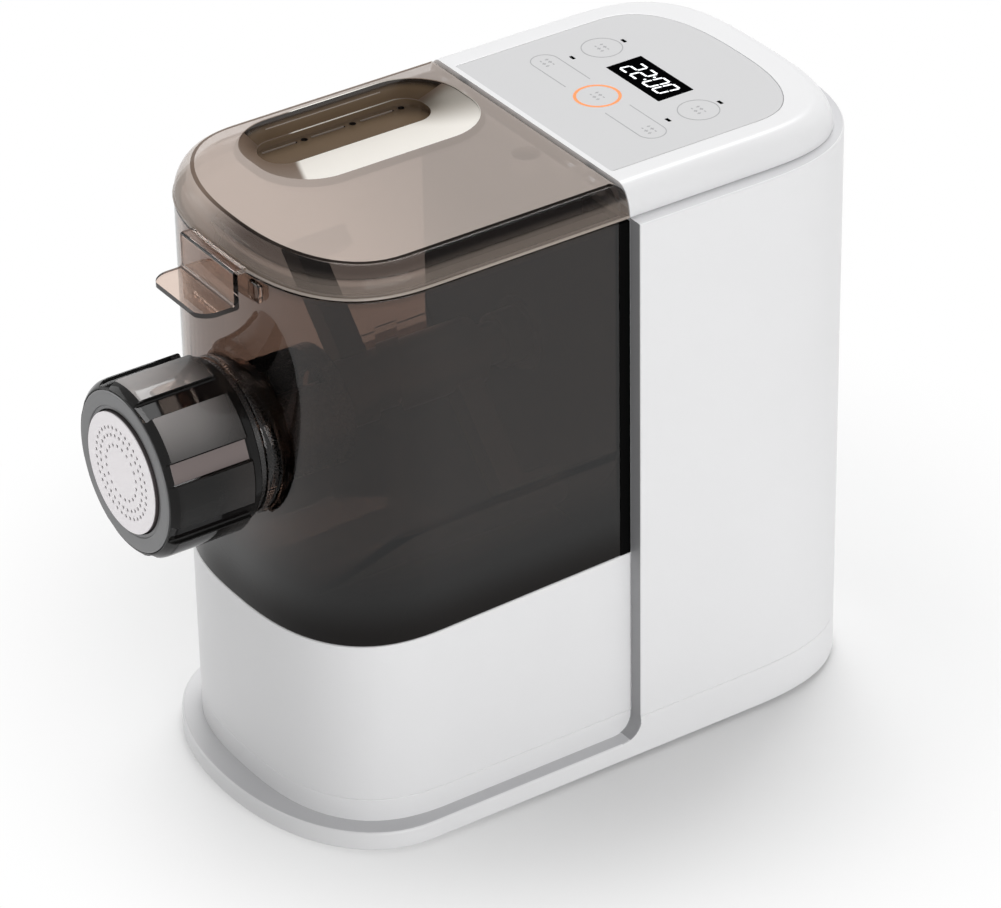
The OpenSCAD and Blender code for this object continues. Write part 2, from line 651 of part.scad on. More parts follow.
// Three rings of noodle holes round a bare centre
hole_rings = [[19.5, 36], [16.2, 30], [11.8, 20]];
module die_disc() color("#f2eff0") on_axis() difference() {
    union() {
        rod_y(nose_y, seat_y - 44, die_r);
        rod_y(seat_y - 44.5, seat_y - 40.5, 29);
    }
    rod_y(seat_y - 46.5, seat_y - 40, 21);
    along_y(nose_y - 1, seat_y - 40) for (ring = hole_rings) for (k = [0 : ring[1] - 1])
        rotate((k + 0.5) * 360 / ring[1]) translate([ring[0], 0]) circle(noodle_r, $fn = 16);
}

// ---- Lock nut -----------------------------------------------------------------
nut_y0 = nose_y + 2;
nut_y1 = seat_y - 5;
groove_w = 9.2;
groove_deep = 2.5;
module nut_section() difference() {
    circle(nut_r);
    for (k = [0 : nut_pads - 1]) rotate((k + 0.5) * 360 / nut_pads)
        translate([nut_r - groove_deep, -groove_w / 2]) square([groove_deep + 1, groove_w]);
}
module lock_nut() color("#2a2725") on_axis() difference() {
    union() {
        along_y(nut_y0 + 1.6, nut_y1 - 4.5) nut_section();
        rod_y(nut_y0, nut_y0 + 1.6, nut_r - 2);
        rod_y(nut_y1 - 4.5, nut_y1, nut_r - 2.6);
    }
    rod_y(nut_y0 - 1, nut_y1 + 1, barrel_r + 0.4);
    rod_y(nut_y0 + 3.2, seat_y - 17.9, 29.4);
    rod_y(nut_y0 - 1, nut_y0 + 2.2, 34.4);
    intersection() {
        rod_y(seat_y - 18, nut_y1 + 1, 29.4);
        along_y(seat_y - 30, seat_y) for (a = [30, 150, 270]) rotate(a)
            polygon([[0, 0], [60, -60 * tan(35)], [60, 60 * tan(35)]]);
    }
}
module nut_ring() color("#8f8f90") on_axis() tube_y(nut_y0 - 0.6, nut_y0 + 2.2, 34.4, barrel_r + 0.4);

// ---- Screw and stirring paddle ---------------------------------------------------
screw_r = 20.2;
core_r = 9;
hub_y = -15.5;
barrel_back = seat_y + 45.5;
module flight_section() polygon([[core_r - 4, -4.5], [screw_r, -1.2], [screw_r, 1.2], [core_r - 4, 4.5]]);
flight_y0 = seat_y - 38.5;
flight_y1 = seat_y + 39;
module extrusion_screw() color("#3a3735") on_axis() difference() {
    union() {
        translate([0, flight_y1, 0]) rotate([90, 0, 0])
            linear_extrude(flight_y1 - flight_y0, twist = 360 * (flight_y1 - flight_y0) / flight_pitch,
                slices = 70, segments = 4) flight_section();
        rod_y(flight_y0, hub_y, core_r);
        rod_y(hub_y - 3, back_y1 - 1.2, 12);
    }
    along_y(-16, 0) circle(hex_male + 0.2, $fn = 6);
}
// Each arm is [angle, place along the shaft]; its end is bent back as a scraper
arms = [[133, -84], [-47, -40]];
arm_reach = 66;
arm_half = 6;
scraper_len = 20;
module stirring_paddle() color("#2e2b2a") on_axis() difference() {
    union() {
        rod_y(barrel_back + 2, -30, 14.5);
        for (a = arms) rotate([0, -a[0], 0]) {
            box(0, arm_reach, a[1] - arm_half, a[1] + arm_half, -arm_half, arm_half);
            box(arm_reach - 9, arm_reach, a[1], a[1] + scraper_len, -arm_half, arm_half);
        }
    }
    rod_y(barrel_back, -28, core_r);
}

// ---- Lid ---------------------------------------------------------------------
hinge_y = -4.2;
hinge_z = top_z - 3.8;
hinge_r = 3.8;
ear_x = 46;
lid_rear = -gap;
magnet_x = 20;
magnet_y = -14;
function lid_plan(s) = mix(chamber_plan, lid_top_plan, s / shoulder_in);
function lid_rings(t) = [for (f = shoulder_steps) let (s = shoulder(f))
    raise(front_points(inset(lid_plan(s[0]), t), lid_rear - t), rim_z + s[1] - t)];
pocket_x0 = -62.5;
pocket_x1 = -5.2;
pocket_y0 = -110.3;
pocket_y1 = -8.2;
pocket_floor = top_z - 13.1;
pocket_r = 24;
pocket_wall = 2.2;
lip_in = 3.8;
lip_up = 6.5;
pour_holes = [-70.5, -46.8, -22.9];
pour_slots = [[-91, -74], [-67, -50.5], [-43, -26.5]];

// The floor of the recess is a trench beside the far wall; a bowl flares from its rim to the mouth
trench_x1 = -40.5;
trench_y0 = -96;
trench_y1 = -15.8;
trench_r = 10;
trench_h = 2.8;
corner_steps = 8;
function corner(cx, cy, r, from) = [for (k = [0 : corner_steps]) let (a = from + 90 * k / corner_steps)
    [cx + r * cos(a), cy + r * sin(a)]];
function round_points(x0, x1, y0, y1, r) = concat(
    corner(x1 - r, y1 - r, r, 0), corner(x0 + r, y1 - r, r, 90),
    corner(x0 + r, y0 + r, r, 180), corner(x1 - r, y0 + r, r, 270));
function mouth(g) = round_points(pocket_x0 - g, pocket_x1 + g, pocket_y0 - g, pocket_y1 + g, pocket_r + g);
function trench(g) = round_points(pocket_x0 - g, trench_x1 + g, trench_y0 - g, trench_y1 + g, trench_r + g);
module pocket_bowl(g, drop, top) skin([raise(trench(g), pocket_floor - drop),
    raise(trench(g), pocket_floor + trench_h - drop), raise(mouth(g), top_z - drop), raise(mouth(g), top)]);
tab_half_w = 20;
tab_y = front_len + 5.4;
tab_tip = front_len + 21.5;
tab_z = 243.5;
tab_t = 2.2;
module lid_tab() {
    box(-tab_half_w, tab_half_w, -tab_y, -front_len + 2, rim_z - 0.4, rim_z + 1.8);
    box(-tab_half_w, tab_half_w, -tab_y, -tab_y + tab_t, tab_z, rim_z + 1.8);
    translate([0, 0, tab_z]) linear_extrude(tab_t) {
        translate([-tab_half_w, -tab_tip + 9]) square([2 * tab_half_w, tab_tip - 9 - tab_y + tab_t]);
        translate([-tab_half_w + 9, -tab_tip]) square([2 * tab_half_w - 18, 10]);
        for (s = [-1, 1]) translate([s * (tab_half_w - 9), -tab_tip + 9]) circle(9);
    }
}
module lid() color([0.45, 0.40, 0.36, 0.6]) at_joint() difference() {
    union() {
        difference() {
            skin(lid_rings(0));
            skin(lid_rings(lid_wall));
        }
        difference() {
            front_prism(inset(chamber_plan, lip_in), rim_z - 5, rim_z + lip_up, back_y0 - 3);
            front_prism(inset(chamber_plan, lip_in + 2), rim_z - 6, rim_z + lip_up + 1, back_y0 - 5);
        }
        for (x = [[-60, -52], [-40, 40], [52, 60]]) translate([x[0], hinge_y, hinge_z]) rotate([0, 90, 0])
            cylinder(r = hinge_r - 0.05, h = x[1] - x[0]);
        pocket_bowl(pocket_wall, pocket_wall, top_z - 1);
        lid_tab();
        translate([magnet_x, magnet_y, 0]) rod_z(top_z - 9, top_z - 2, 6);
    }
    pocket_bowl(0, 0, top_z + 1);
    difference() {
        box(-90, 90, hinge_y, 5, hinge_z, top_z + 1);
        translate([-91, hinge_y, hinge_z]) rotate([0, 90, 0]) cylinder(r = hinge_r, h = 182);
    }
    for (s = [-1, 1]) {
        box(s * ear_x - 3.5, s * ear_x + 3.5, hinge_y - 6, 1, rim_z - 6, hinge_z + 0.2);
        translate([s * ear_x - 3.5, hinge_y, hinge_z]) rotate([0, 90, 0]) cylinder(r = 3, h = 7);
        box(s * ear_x - 3.5, s * ear_x + 3.5, hinge_y, 1, rim_z, top_z + 1);
        translate([s * ear_x - 12, hinge_y, hinge_z]) rotate([0, 90, 0]) cylinder(r = 1.25, h = 24);
    }
    translate([magnet_x, magnet_y, 0]) rod_z(top_z - 10, top_z - 4.5, 4);
    for (y = pour_holes) translate([-59.5, y, 0]) rod_z(pocket_floor - 4, pocket_floor + 1, 1.5);
    for (s = pour_slots) box(-60.2, -58.8, s[0], s[1], pocket_floor - 4, pocket_floor + 1);
}
module hinge_pins() color("#c4c6ca") at_joint() for (s = [-1, 1])
    translate([s * ear_x - 9, hinge_y, hinge_z]) rotate([0, 90, 0]) cylinder(r = 1.25, h = 18);
module lid_magnet() color("#9da0a6") at_joint() translate([magnet_x, magnet_y, 0])
    rod_z(top_z - 9, top_z - 4.5, 4);

// ---- Screws from below and above ---------------------------------------------
module housing_screws() color("#b8b8bc") at_joint() places(post_places) {
    rod_z(floor_z1 + 0.2, floor_z1 + 2.4, 3.4);
    rod_z(floor_z1 + 2.4, seam_z + 14, 1.5);
}
module cover_screws() color("#b8b8bc") at_joint() places(cover_posts) {
    rod_z(cover_tab_z - 2.4, cover_tab_z, 3.2);
    rod_z(cover_tab_z, top_z - 7, 1.4);
}

// ---- Wires -----------------------------------------------------------------------
// A round wire through its points, as one closed tube with eight sides
function unit(v) = v / norm(v);
module wire(route, r) {
    n = len(route);
    function dir(i) = unit(route[min(i + 1, n - 1)] - route[max(i - 1, 0)]);
    function side(i) = unit(cross(dir(i), [0.3, 0.2, 1]));
    skin([for (i = [0 : n - 1]) let (u = side(i), v = cross(dir(i), u))
        [for (k = [0 : 7]) route[i] + r * (cos(45 * k) * u + sin(45 * k) * v)]]);
}
mains_route = [[-7, 101.4, 29.5], [-7, 99, 29.5], [-9, 94, 31], [-13, 87, 36], [-18, 82, 44],
    [-22, 79, 54], [-24, 77, 66], [-25, 76, 76], [-25, 76, 82]];
motor_route = [[-18, -62, 89.2], [-19, -61, 90.4], [-26, -54, 91.2], [-40, -34, 88], [-47, -8, 80],
    [-48, 12, 76], [-46, 36, 74], [-42, 60, 72], [-40, 74, 74], [-40, 78, 78], [-40, 78, 82]];
module wire_pair(route, r) for (dx = [0, 5]) translate([dx, 0, 0]) wire(route, r);
module mains_leads() color("#3a2a20") at_joint() wire_pair(mains_route, 1.6);
module motor_leads() color("#23324a") at_joint() wire_pair(motor_route, 1.4);

base_tray();
rubber_feet();
rear_housing();
front_pedestal();
top_cover();
control_panel();
display_window();
start_key_ring();
indicator_lenses();
control_board();
display_module();
touch_springs();
reed_switch();
power_board();
board_components();
heat_sink();
mains_inlet();
inlet_pins();
stator_core();
stator_windings();
front_end_bell();
rear_end_bell();
motor_bolts();
motor_bracket();
motor_dampers();
motor_bushes();
gearbox_case();
gearbox_cover();
gear_pins();
output_bushes();
gearbox_screws();
housing_screws();
cover_screws();
board_screws();
bracket_screws();
mixing_chamber();
chamber_back();
shaft_seal();
screw_barrel();
barrel_gasket();
die_gasket();
die_disc();
lock_nut();
nut_ring();
lid();
hinge_pins();
lid_magnet();
extrusion_screw();
stirring_paddle();
output_gear();
output_shaft();
second_gear();
first_gear();
motor_pinion();
rotor_core();
rotor_shaft();
cooling_fan();
mains_leads();
motor_leads();
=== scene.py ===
import bpy
from math import asin, atan2, copysign, cos, dist, hypot, pi, radians, sin
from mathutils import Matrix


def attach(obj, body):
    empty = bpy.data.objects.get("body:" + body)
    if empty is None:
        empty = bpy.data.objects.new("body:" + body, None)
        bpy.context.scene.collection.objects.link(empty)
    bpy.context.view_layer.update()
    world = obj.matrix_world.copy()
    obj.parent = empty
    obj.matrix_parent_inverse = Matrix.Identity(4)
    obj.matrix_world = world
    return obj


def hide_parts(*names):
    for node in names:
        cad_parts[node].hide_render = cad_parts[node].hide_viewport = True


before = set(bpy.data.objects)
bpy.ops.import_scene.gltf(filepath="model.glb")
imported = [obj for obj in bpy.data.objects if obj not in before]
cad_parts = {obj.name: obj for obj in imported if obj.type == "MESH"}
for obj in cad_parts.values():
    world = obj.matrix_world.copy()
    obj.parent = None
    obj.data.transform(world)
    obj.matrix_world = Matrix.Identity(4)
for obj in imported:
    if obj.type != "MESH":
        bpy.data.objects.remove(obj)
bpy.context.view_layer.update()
bpy.context.scene.view_settings.view_transform = "Standard"

# ---- Camera ----
# A long lens looks down on the machine from its front right, far enough away
# that the upright edges stay almost parallel.
mm = 0.001
look_at = (-46.5 * mm, 48.5 * mm, 82.9 * mm)
camera_away = 2195.4 * mm
camera_round, camera_up, camera_roll = map(radians, (56.40, 31.74, -1.07))
bpy.ops.object.camera_add(
    location=(look_at[0] + camera_away * sin(camera_round) * cos(camera_up),
              look_at[1] - camera_away * cos(camera_round) * cos(camera_up),
              look_at[2] + camera_away * sin(camera_up)))
camera = bpy.context.object
camera.rotation_euler = (pi / 2 - camera_up, 0, camera_round)
camera.rotation_euler.rotate_axis("Z", camera_roll)
camera.data.lens = 180.88
camera.data.sensor_width = 36
camera.data.clip_end = 20
bpy.context.scene.camera = camera

# ---- Studio ----
# A seamless pale floor under a white sky, one broad lamp to the right, one above and
# a weak one at the front left, so that the front faces stay in half shade.
def linear(code):
    """An sRGB hex colour as the linear one that a shader takes."""
    parts = [int(code[i:i + 2], 16) / 255 for i in (1, 3, 5)]
    return [p / 12.92 if p <= 0.04045 else ((p + 0.055) / 1.055) ** 2.4 for p in parts] + [1]


def emptied(owner):
    """The node tree of a material or world, with nothing in it yet."""
    owner.use_nodes = True
    owner.node_tree.nodes.clear()
    return owner.node_tree


def add(tree, kind, inputs=None, **settings):
    """A shader node with its settings, and with a value or a link on each input named."""
    made = tree.nodes.new("ShaderNode" + kind)
    for key, value in settings.items():
        setattr(made, key, value)
    for socket, value in (inputs or {}).items():
        if isinstance(value, bpy.types.NodeSocket):
            tree.links.new(value, made.inputs[socket])
        else:
            made.inputs[socket].default_value = value
    return made


def white_to_the_eye(tree):
    """1 where a camera, mirror or see-through ray meets the sky or the floor."""
    ray = add(tree, "LightPath").outputs
    share = ray["Is Camera Ray"]
    for other in ("Is Glossy Ray", "Is Transmission Ray"):
        share = add(tree, "Math", {0: share, 1: ray[other]}, operation="MAXIMUM").outputs[0]
    return share


sky = bpy.data.worlds.new("studio_sky")
bpy.context.scene.world = sky
tree = emptied(sky)
soft = add(tree, "Background", {"Color": linear("#FFFFFF"), "Strength": 0.30})
white = add(tree, "Background", {"Color": linear("#FFFFFF"), "Strength": 1.0})
either = add(tree, "MixShader", {
    0: white_to_the_eye(tree), 1: soft.outputs[0], 2: white.outputs[0]})
add(tree, "OutputWorld", {"Surface": either.outputs[0]})

bpy.ops.mesh.primitive_plane_add(size=16, location=(0, 0, 0))
floor = bpy.context.object
floor.name = "studio_floor"
paper = bpy.data.materials.new("matt_white_paper")
tree = emptied(paper)
lit = add(tree, "BsdfDiffuse", {"Color": linear("#EFEFEF")})
plain = add(tree, "Emission", {"Color": linear("#FFFFFF"), "Strength": 1.0})
# The paper pales to plain white with the distance from the machine, in metres
shadow_middle, pale_from, pale_to = (-0.027, 0.059, 0), 0.092, 0.290
spot = add(tree, "TexCoord").outputs["Object"]
away = add(tree, "VectorMath", {0: spot, 1: shadow_middle}, operation="DISTANCE")
paling = add(tree, "MapRange", {"Value": away.outputs["Value"], "From Min": pale_from,
                                "From Max": pale_to}, interpolation_type="SMOOTHSTEP")
shown = add(tree, "Math", {0: paling.outputs[0], 1: white_to_the_eye(tree)}, operation="MULTIPLY")
seen = add(tree, "MixShader", {0: shown.outputs[0], 1: lit.outputs[0], 2: plain.outputs[0]})
add(tree, "OutputMaterial", {"Surface": seen.outputs[0]})
floor.data.materials.append(paper)


def softbox(name, place, aim, size, watts):
    """A square lamp at a place, turned to a point, both in metres."""
    bpy.ops.object.light_add(type="AREA", location=place)
    lamp = bpy.context.object
    lamp.name = name
    lamp.data.shape = "RECTANGLE"
    lamp.data.size, lamp.data.size_y = size
    lamp.data.energy = watts
    dx, dy, dz = (a - b for a, b in zip(aim, place))
    lamp.rotation_euler = (atan2(hypot(dx, dy), -dz), 0, atan2(dy, dx) - pi / 2)


softbox("right_lamp", (2.4, -0.3, 0.8), (0, 0, 0.12), (2.0, 1.2), 31)
softbox("top_lamp", (-0.9, 0.9, 2.4), (0, 0, 0.2), (1.4, 1.4), 44)
softbox("left_lamp", (-2.2, -1.4, 0.9), (0, 0, 0.12), (1.4, 1.2), 9)

# ---- Base tray ----
# The tray that everything stands on: white ABS, injection moulded. It carries the
# tower outline at the back and a flat ledge round the front, with screw posts inside.
def surface(name, pale, deep, patch, grain, bump, rough, **sockets):
    """A Principled finish with cloudy colour (patch mm), a fine skin (grain mm wide, bump
    mm deep) and roughness that wanders between two values."""
    made = bpy.data.materials.new(name)
    tree = emptied(made)
    place = add(tree, "TexCoord").outputs["Object"]
    cloud = add(tree, "TexNoise", {"Vector": place, "Scale": 1 / (patch * mm), "Detail": 3.0})
    skin = add(tree, "TexNoise", {"Vector": place, "Scale": 1 / (grain * mm), "Detail": 2.0})
    colour = add(tree, "Mix", {0: cloud.outputs["Fac"], 6: linear(pale), 7: linear(deep)},
                 data_type="RGBA")
    dull = add(tree, "MapRange", {
        "Value": skin.outputs["Fac"], "To Min": rough[0], "To Max": rough[1]})
    relief = add(tree, "Bump", {
        "Height": skin.outputs["Fac"], "Strength": 0.5, "Distance": bump * mm})
    shader = add(tree, "BsdfPrincipled", {
        "Base Color": colour.outputs[2], "Roughness": dull.outputs[0],
        "Normal": relief.outputs[0]})
    for socket, value in sockets.items():
        shader.inputs[socket.replace("_", " ")].default_value = value
    add(tree, "OutputMaterial", {"Surface": shader.outputs[0]})
    return made


def loft(name, rings, ends="filled"):
    """Rolls a grid round rings of points in mm, y counted from the joint between tower
    and chamber, and closes it: the two ends are filled, or joined to each other."""
    if ends == "joined":
        rings = rings + [rings[0]]
    around, rows = len(rings[0]), len(rings)
    bpy.ops.mesh.primitive_grid_add(x_subdivisions=around, y_subdivisions=rows - 1, size=2)
    made = bpy.context.object
    made.name = made.data.name = name
    for corner in made.data.vertices:
        i = round((corner.co.x + 1) / 2 * around) % around
        j = round((corner.co.y + 1) / 2 * (rows - 1))
        x, y, z = rings[j][i]
        corner.co = (x * mm, (y + joint_y) * mm, z * mm)
    bpy.ops.object.mode_set(mode="EDIT")
    bpy.ops.mesh.select_all(action="SELECT")
    bpy.ops.mesh.remove_doubles(threshold=1e-6)
    bpy.ops.mesh.select_all(action="DESELECT")
    bpy.ops.mesh.select_non_manifold(extend=False)
    if ends == "filled":
        bpy.ops.mesh.fill_holes(sides=0)
    bpy.ops.mesh.select_all(action="SELECT")
    bpy.ops.mesh.normals_make_consistent(inside=False)
    bpy.ops.object.mode_set(mode="OBJECT")
    return made


def pick(*pieces):
    """Selects pieces and nothing else, and makes the first one active."""
    bpy.ops.object.select_all(action="DESELECT")
    for piece in pieces:
        piece.select_set(True)
    bpy.context.view_layer.objects.active = pieces[0]


def combine(piece, how, *tools):
    """Combines tools with a piece, and deletes them."""
    for tool in tools:
        pick(piece)
        work = piece.modifiers.new("work", "BOOLEAN")
        work.operation, work.object, work.solver = how, tool, "EXACT"
        bpy.ops.object.modifier_apply(modifier="work")
        bpy.data.objects.remove(tool, do_unlink=True)


def cut(piece, *tools):
    """Cuts tools out of a piece."""
    combine(piece, "DIFFERENCE", *tools)


def fuse(piece, *tools):
    """Joins tools to a piece."""
    combine(piece, "UNION", *tools)


def coat(piece, finishes, choose=None, sharp_from=32):
    """Gives a piece its finishes, and each face the one that choose names for its middle in
    mm and its normal. Then shades it smooth up to an angle, and keeps flat faces flat."""
    for finish in finishes:
        piece.data.materials.append(finish)
    for face in piece.data.polygons if choose else ():
        x, y, z = (part / mm for part in face.center)
        face.material_index = finishes.index(choose(x, y - joint_y, z, face.normal))
    pick(piece)
    bpy.ops.object.shade_smooth_by_angle(angle=radians(sharp_from))
    level = piece.modifiers.new("level", "WEIGHTED_NORMAL")
    level.keep_sharp = True
    bpy.ops.object.modifier_apply(modifier="level")


def round_end(half, depth, square, reach, way, start):
    """Points from one side round the end to the other, evenly spaced: straight sides that
    run into a squarish round end. way is -1 towards the head and 1 towards the back."""
    straight, turn, steps = 40, 240, 88
    dense = [(half, start + (reach - depth - start) * k / straight) for k in range(straight)]
    for k in range(turn + 1):
        t = pi * k / turn
        x = copysign(half * abs(cos(t)) ** (2 / square), cos(t))
        dense.append((x, reach - depth + depth * sin(t) ** (2 / square)))
    dense += [(-x, y) for x, y in reversed(dense[:straight])]
    gone = [0.0]
    for a, b in zip(dense, dense[1:]):
        gone.append(gone[-1] + dist(a, b))
    points, k = [], 0
    for step in range(steps + 1):
        goal = gone[-1] * step / steps
        while k < len(gone) - 2 and gone[k + 1] < goal:
            k += 1
        f = (goal - gone[k]) / (gone[k + 1] - gone[k])
        points.append((dense[k][0] + f * (dense[k + 1][0] - dense[k][0]),
                       way * (dense[k][1] + f * (dense[k + 1][1] - dense[k][1]))))
    return points


def quarter(steps, first=0):
    """The angles of a quarter turn, in even steps."""
    return [pi / 2 * k / steps for k in range(first, steps + 1)]


def grown(shape, grow):
    """An outline made larger all round."""
    half, depth, square, reach = shape
    return half + grow, depth + grow, square, reach + grow


def plan(shape, way, z, start=0.0, corner=0.8, grow=0.0):
    """One level ring: the round end, and a straight edge at start with two small corners.
    z is a height, or a height as a function of y."""
    half = shape[0] + grow
    ring = round_end(*grown(shape, grow), way, start + corner)
    left = [(-half + corner - corner * cos(a), way * (start + corner - corner * sin(a)))
            for a in quarter(4, 1)]
    right = [(-x, y) for x, y in reversed(left)]
    middle = [((half - corner) * f, way * start) for f in (-0.9194, -0.5, 0, 0.5, 0.9194)]
    return [(x, y, z(y) if callable(z) else z) for x, y in ring + left + middle + right]


def top_edge(z, r, steps=4):
    """(inset, height) up over a rounded upper edge."""
    return [(r * (1 - cos(a)), z - r + r * sin(a)) for a in quarter(steps)]


def low_edge(z, r):
    """(inset, height) up from a rounded lower edge."""
    return [(inset, 2 * z - height) for inset, height in reversed(top_edge(z, r))]


# Each outline is half its width, the depth of its round end, its squareness and its reach
joint_y = 33.5
chamber_plan = (73, 56.8, 2.59, 148.5)
foot_plan = (80, 54, 2.13, 159.5)
tower_plan = (80, 75.9, 2.86, 131.5)
seam_z, seam_edge, foot_z, foot_edge, tray_bottom, ledge_turn = 21.0, 0.45, 10.5, 1.2, 1.6, 9.0
wall, post_r, tray_floor, foot_seat_r, screw_well_r, screw_bore_r = 2.6, 4.5, 4.2, 9.4, 3.6, 1.9


def tray_ring(z, grow, front, front_grow, step_y):
    """The tower outline behind, and the ledge or the chamber outline in front, which meet
    in a step across each side at step_y."""
    edge = 0.6
    back_shape, front_shape = grown(tower_plan, grow), grown(front, front_grow)
    half, narrow = back_shape[0], front_shape[0]
    back = round_end(*back_shape, 1, step_y + edge)
    ahead = [(-x, y) for x, y in round_end(*front_shape, -1, -step_y + edge)]
    if half - narrow > 2:
        left = [(-half + edge - edge * cos(a), step_y + edge - edge * sin(a))
                for a in quarter(4, 1)]
        foot = [(-narrow - edge, step_y), (-narrow - 0.2, step_y - 0.2)]
    else:
        left = [(-half, step_y + edge - edge * k / 5) for k in range(1, 5)]
        foot = [(-half, step_y - 0.1), (-half + (half - narrow) / 2, step_y - edge / 2)]
    left += foot
    right = [(-x, y) for x, y in reversed(left)]
    return [(x, y, z) for x, y in back + left + ahead + right]


rings = [tray_ring(h, -t, foot_plan, -t, -ledge_turn) for t, h in low_edge(tray_bottom, 1.0)]
rings += [tray_ring(h, 0, foot_plan, -t, -ledge_turn) for t, h in top_edge(foot_z, foot_edge)]
rings += [tray_ring(foot_z + ledge_turn - ledge_turn * cos(a), 0, chamber_plan, 0,
                    -ledge_turn * (1 - sin(a))) for a in quarter(8)]
rings += [tray_ring(h, -t, chamber_plan, -t, 0) for t, h in top_edge(seam_z, seam_edge)]
tray = loft("tray_shell", rings)
above_tray = seam_z + 3
for shape, way, start in ((tower_plan, 1, wall), (chamber_plan, -1, 0)):
    cut(tray, loft("hollow", [plan(shape, way, h, start, 1, -wall)
                              for h in (tray_floor, above_tray)]))


def rounded_box(x0, x1, y0, y1, r, steps=6):
    """The outline of a rectangle with round corners."""
    ring = []
    for cx, cy, turn in ((x1 - r, y1 - r, 0), (x0 + r, y1 - r, 90),
                         (x0 + r, y0 + r, 180), (x1 - r, y0 + r, 270)):
        for k in range(steps + 1):
            a = radians(turn + 90 * k / steps)
            ring.append((cx + r * cos(a), cy + r * sin(a)))
    return ring


def grille(pitch, half, count, y0, y1, r):
    """The outlines of a row of slots, count of them on each side of the middle one."""
    return [rounded_box(pitch * k - half, pitch * k + half, y0, y1, r)
            for k in range(-count, count + 1)]


def circle(cx, cy, r, steps=48):
    """The outline of a circle."""
    return [(cx + r * cos(2 * pi * k / steps), cy + r * sin(2 * pi * k / steps))
            for k in range(steps)]


def up(name, outline, z0, z1):
    """A flat outline raised from z0 to z1."""
    return loft(name, [[(x, y, z) for x, y in outline] for z in (z0, z1)])


def gather(name, parts):
    """Several meshes as one piece."""
    pick(*parts)
    bpy.ops.object.join()
    parts[0].name = parts[0].data.name = name
    return parts[0]


foot_places = [(x, y) for y in (-112, 98) for x in (-56, 56)]
front_posts = [(x * s, y) for x, y in ((67, -70), (36, -138.5)) for s in (-1, 1)]
back_posts = [(x * s, y) for x, y in ((73.5, 40), (40, 121)) for s in (-1, 1)]


def posts(places, z0, z1):
    """Round posts for the screws that hold the shells together."""
    return gather("posts", [up("post", circle(*place, post_r), z0, z1) for place in places])


fuse(tray, posts(front_posts + back_posts, 3, seam_z - 0.2))
holes = [up("slot", outline, 0, 10) for outline in grille(9, 1.6, 4, -94, -62, 1.5)]
holes += [up("passage", rounded_box(-62, 62, -3, 4, 0.5, 2), tray_floor, above_tray)]
holes += [up("seat", circle(*place, foot_seat_r), 0, 2.6) for place in foot_places]
for r, *heights in ((screw_well_r, 0, 6.6), (screw_bore_r, 5, 23)):
    holes += [up("screw_hole", circle(*place, r, 24), *heights)
              for place in front_posts + back_posts]
cut(tray, gather("holes", holes))
# Injection-moulded ABS, spark-eroded to a fine satin: nearly even white with a soft sheen
white_abs = surface("moulded_white_ABS", "#EBEBEC", "#E6E6E7", 60, 0.9, 0.006, (0.30, 0.38),
                    IOR=1.53, Coat_Weight=0.12, Coat_Roughness=0.25)
# The ledge, the step of the tower and its rim are textured satin grey, partly their own grey
# and partly painted shade; the grey of the ledge and the rim pales towards the left side as
# painted light
grey_trim_and_painted_shade = surface("grey_ABS_ledge_and_painted_shade", "#CCCCCE", "#C8C8CA", 60, 0.9, 0.01, (0.42, 0.5),
                    IOR=1.53)


def opened(finish):
    """A finish's nodes, its shader, and the place on the piece that its patterns read."""
    tree = finish.node_tree
    shader, place = (next(n for n in tree.nodes if n.type == kind)
                     for kind in ("BSDF_PRINCIPLED", "TEX_COORD"))
    return tree, shader, place.outputs["Object"]


def run(finish, way, start, end, low=0.0, high=1.0):
    """A value that goes from low to high between start and end, in mm along a direction;
    the middle of the machine's length is at y = 0."""
    tree, _, place = opened(finish)
    gone = add(tree, "VectorMath", {0: place, 1: way}, operation="DOT_PRODUCT").outputs["Value"]
    return add(tree, "MapRange", {"Value": gone, "From Min": start * mm, "From Max": end * mm,
                                  "To Min": low, "To Max": high},
               interpolation_type="SMOOTHSTEP").outputs[0]


def blend(finish, code, way, start, end, socket="Base Color"):
    """Turns one of a finish's colours into another over such a run."""
    tree, shader, _ = opened(finish)
    share = run(finish, way, start, end)
    old = shader.inputs[socket]
    before = old.links[0].from_socket if old.is_linked else list(old.default_value)
    colour = add(tree, "Mix", {0: share, 7: linear(code), 6: before}, data_type="RGBA")
    tree.links.new(colour.outputs[2], old)


# Painted light: the grey of the ledge and the rim pales towards the left side
blend(grey_trim_and_painted_shade, "#DCDCDD", (-1, 0, 0), -25, 50)
# The step faces the front: a darker copy of the same grey, painted shade
grey_step_painted_shade = surface("grey_ABS_step_painted_shade", "#9C9C9E", "#98989A", 60, 0.9, 0.01, (0.42, 0.5),
                    IOR=1.53)


def tray_finish(x, y, z, normal):
    """The step across each side, the ledge and its cove, and the rest."""
    if 72.9 < abs(x) < 79.9 and -ledge_turn < y < 0.05 and z > foot_z and normal.y < -0.3:
        return grey_step_painted_shade
    if foot_z - 0.05 < z < seam_z - 0.5 and y < 0.05 and abs(x) < 79.5 and normal.z > 0.3:
        return grey_trim_and_painted_shade
    return white_abs


coat(tray, (white_abs, grey_trim_and_painted_shade, grey_step_painted_shade), tray_finish)
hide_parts("base_tray")
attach(tray, "base")

# ---- Rubber feet ----
# Four round feet of moulded nitrile rubber, dull, dark and slightly dusty, pressed
# into seats under the tray. The motor stands on dampers of the same rubber.
def dress(finish, *names):
    """A CAD solid keeps its shape and takes a better finish."""
    for name in names:
        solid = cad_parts[name]
        solid.data.materials.clear()
        solid.data.materials.append(finish)


dress(surface("moulded_black_rubber", "#2E2E30", "#3A3A3C", 8, 0.6, 0.03, (0.7, 0.85),
              Specular_IOR_Level=0.3),
      "rubber_feet", "motor_dampers")

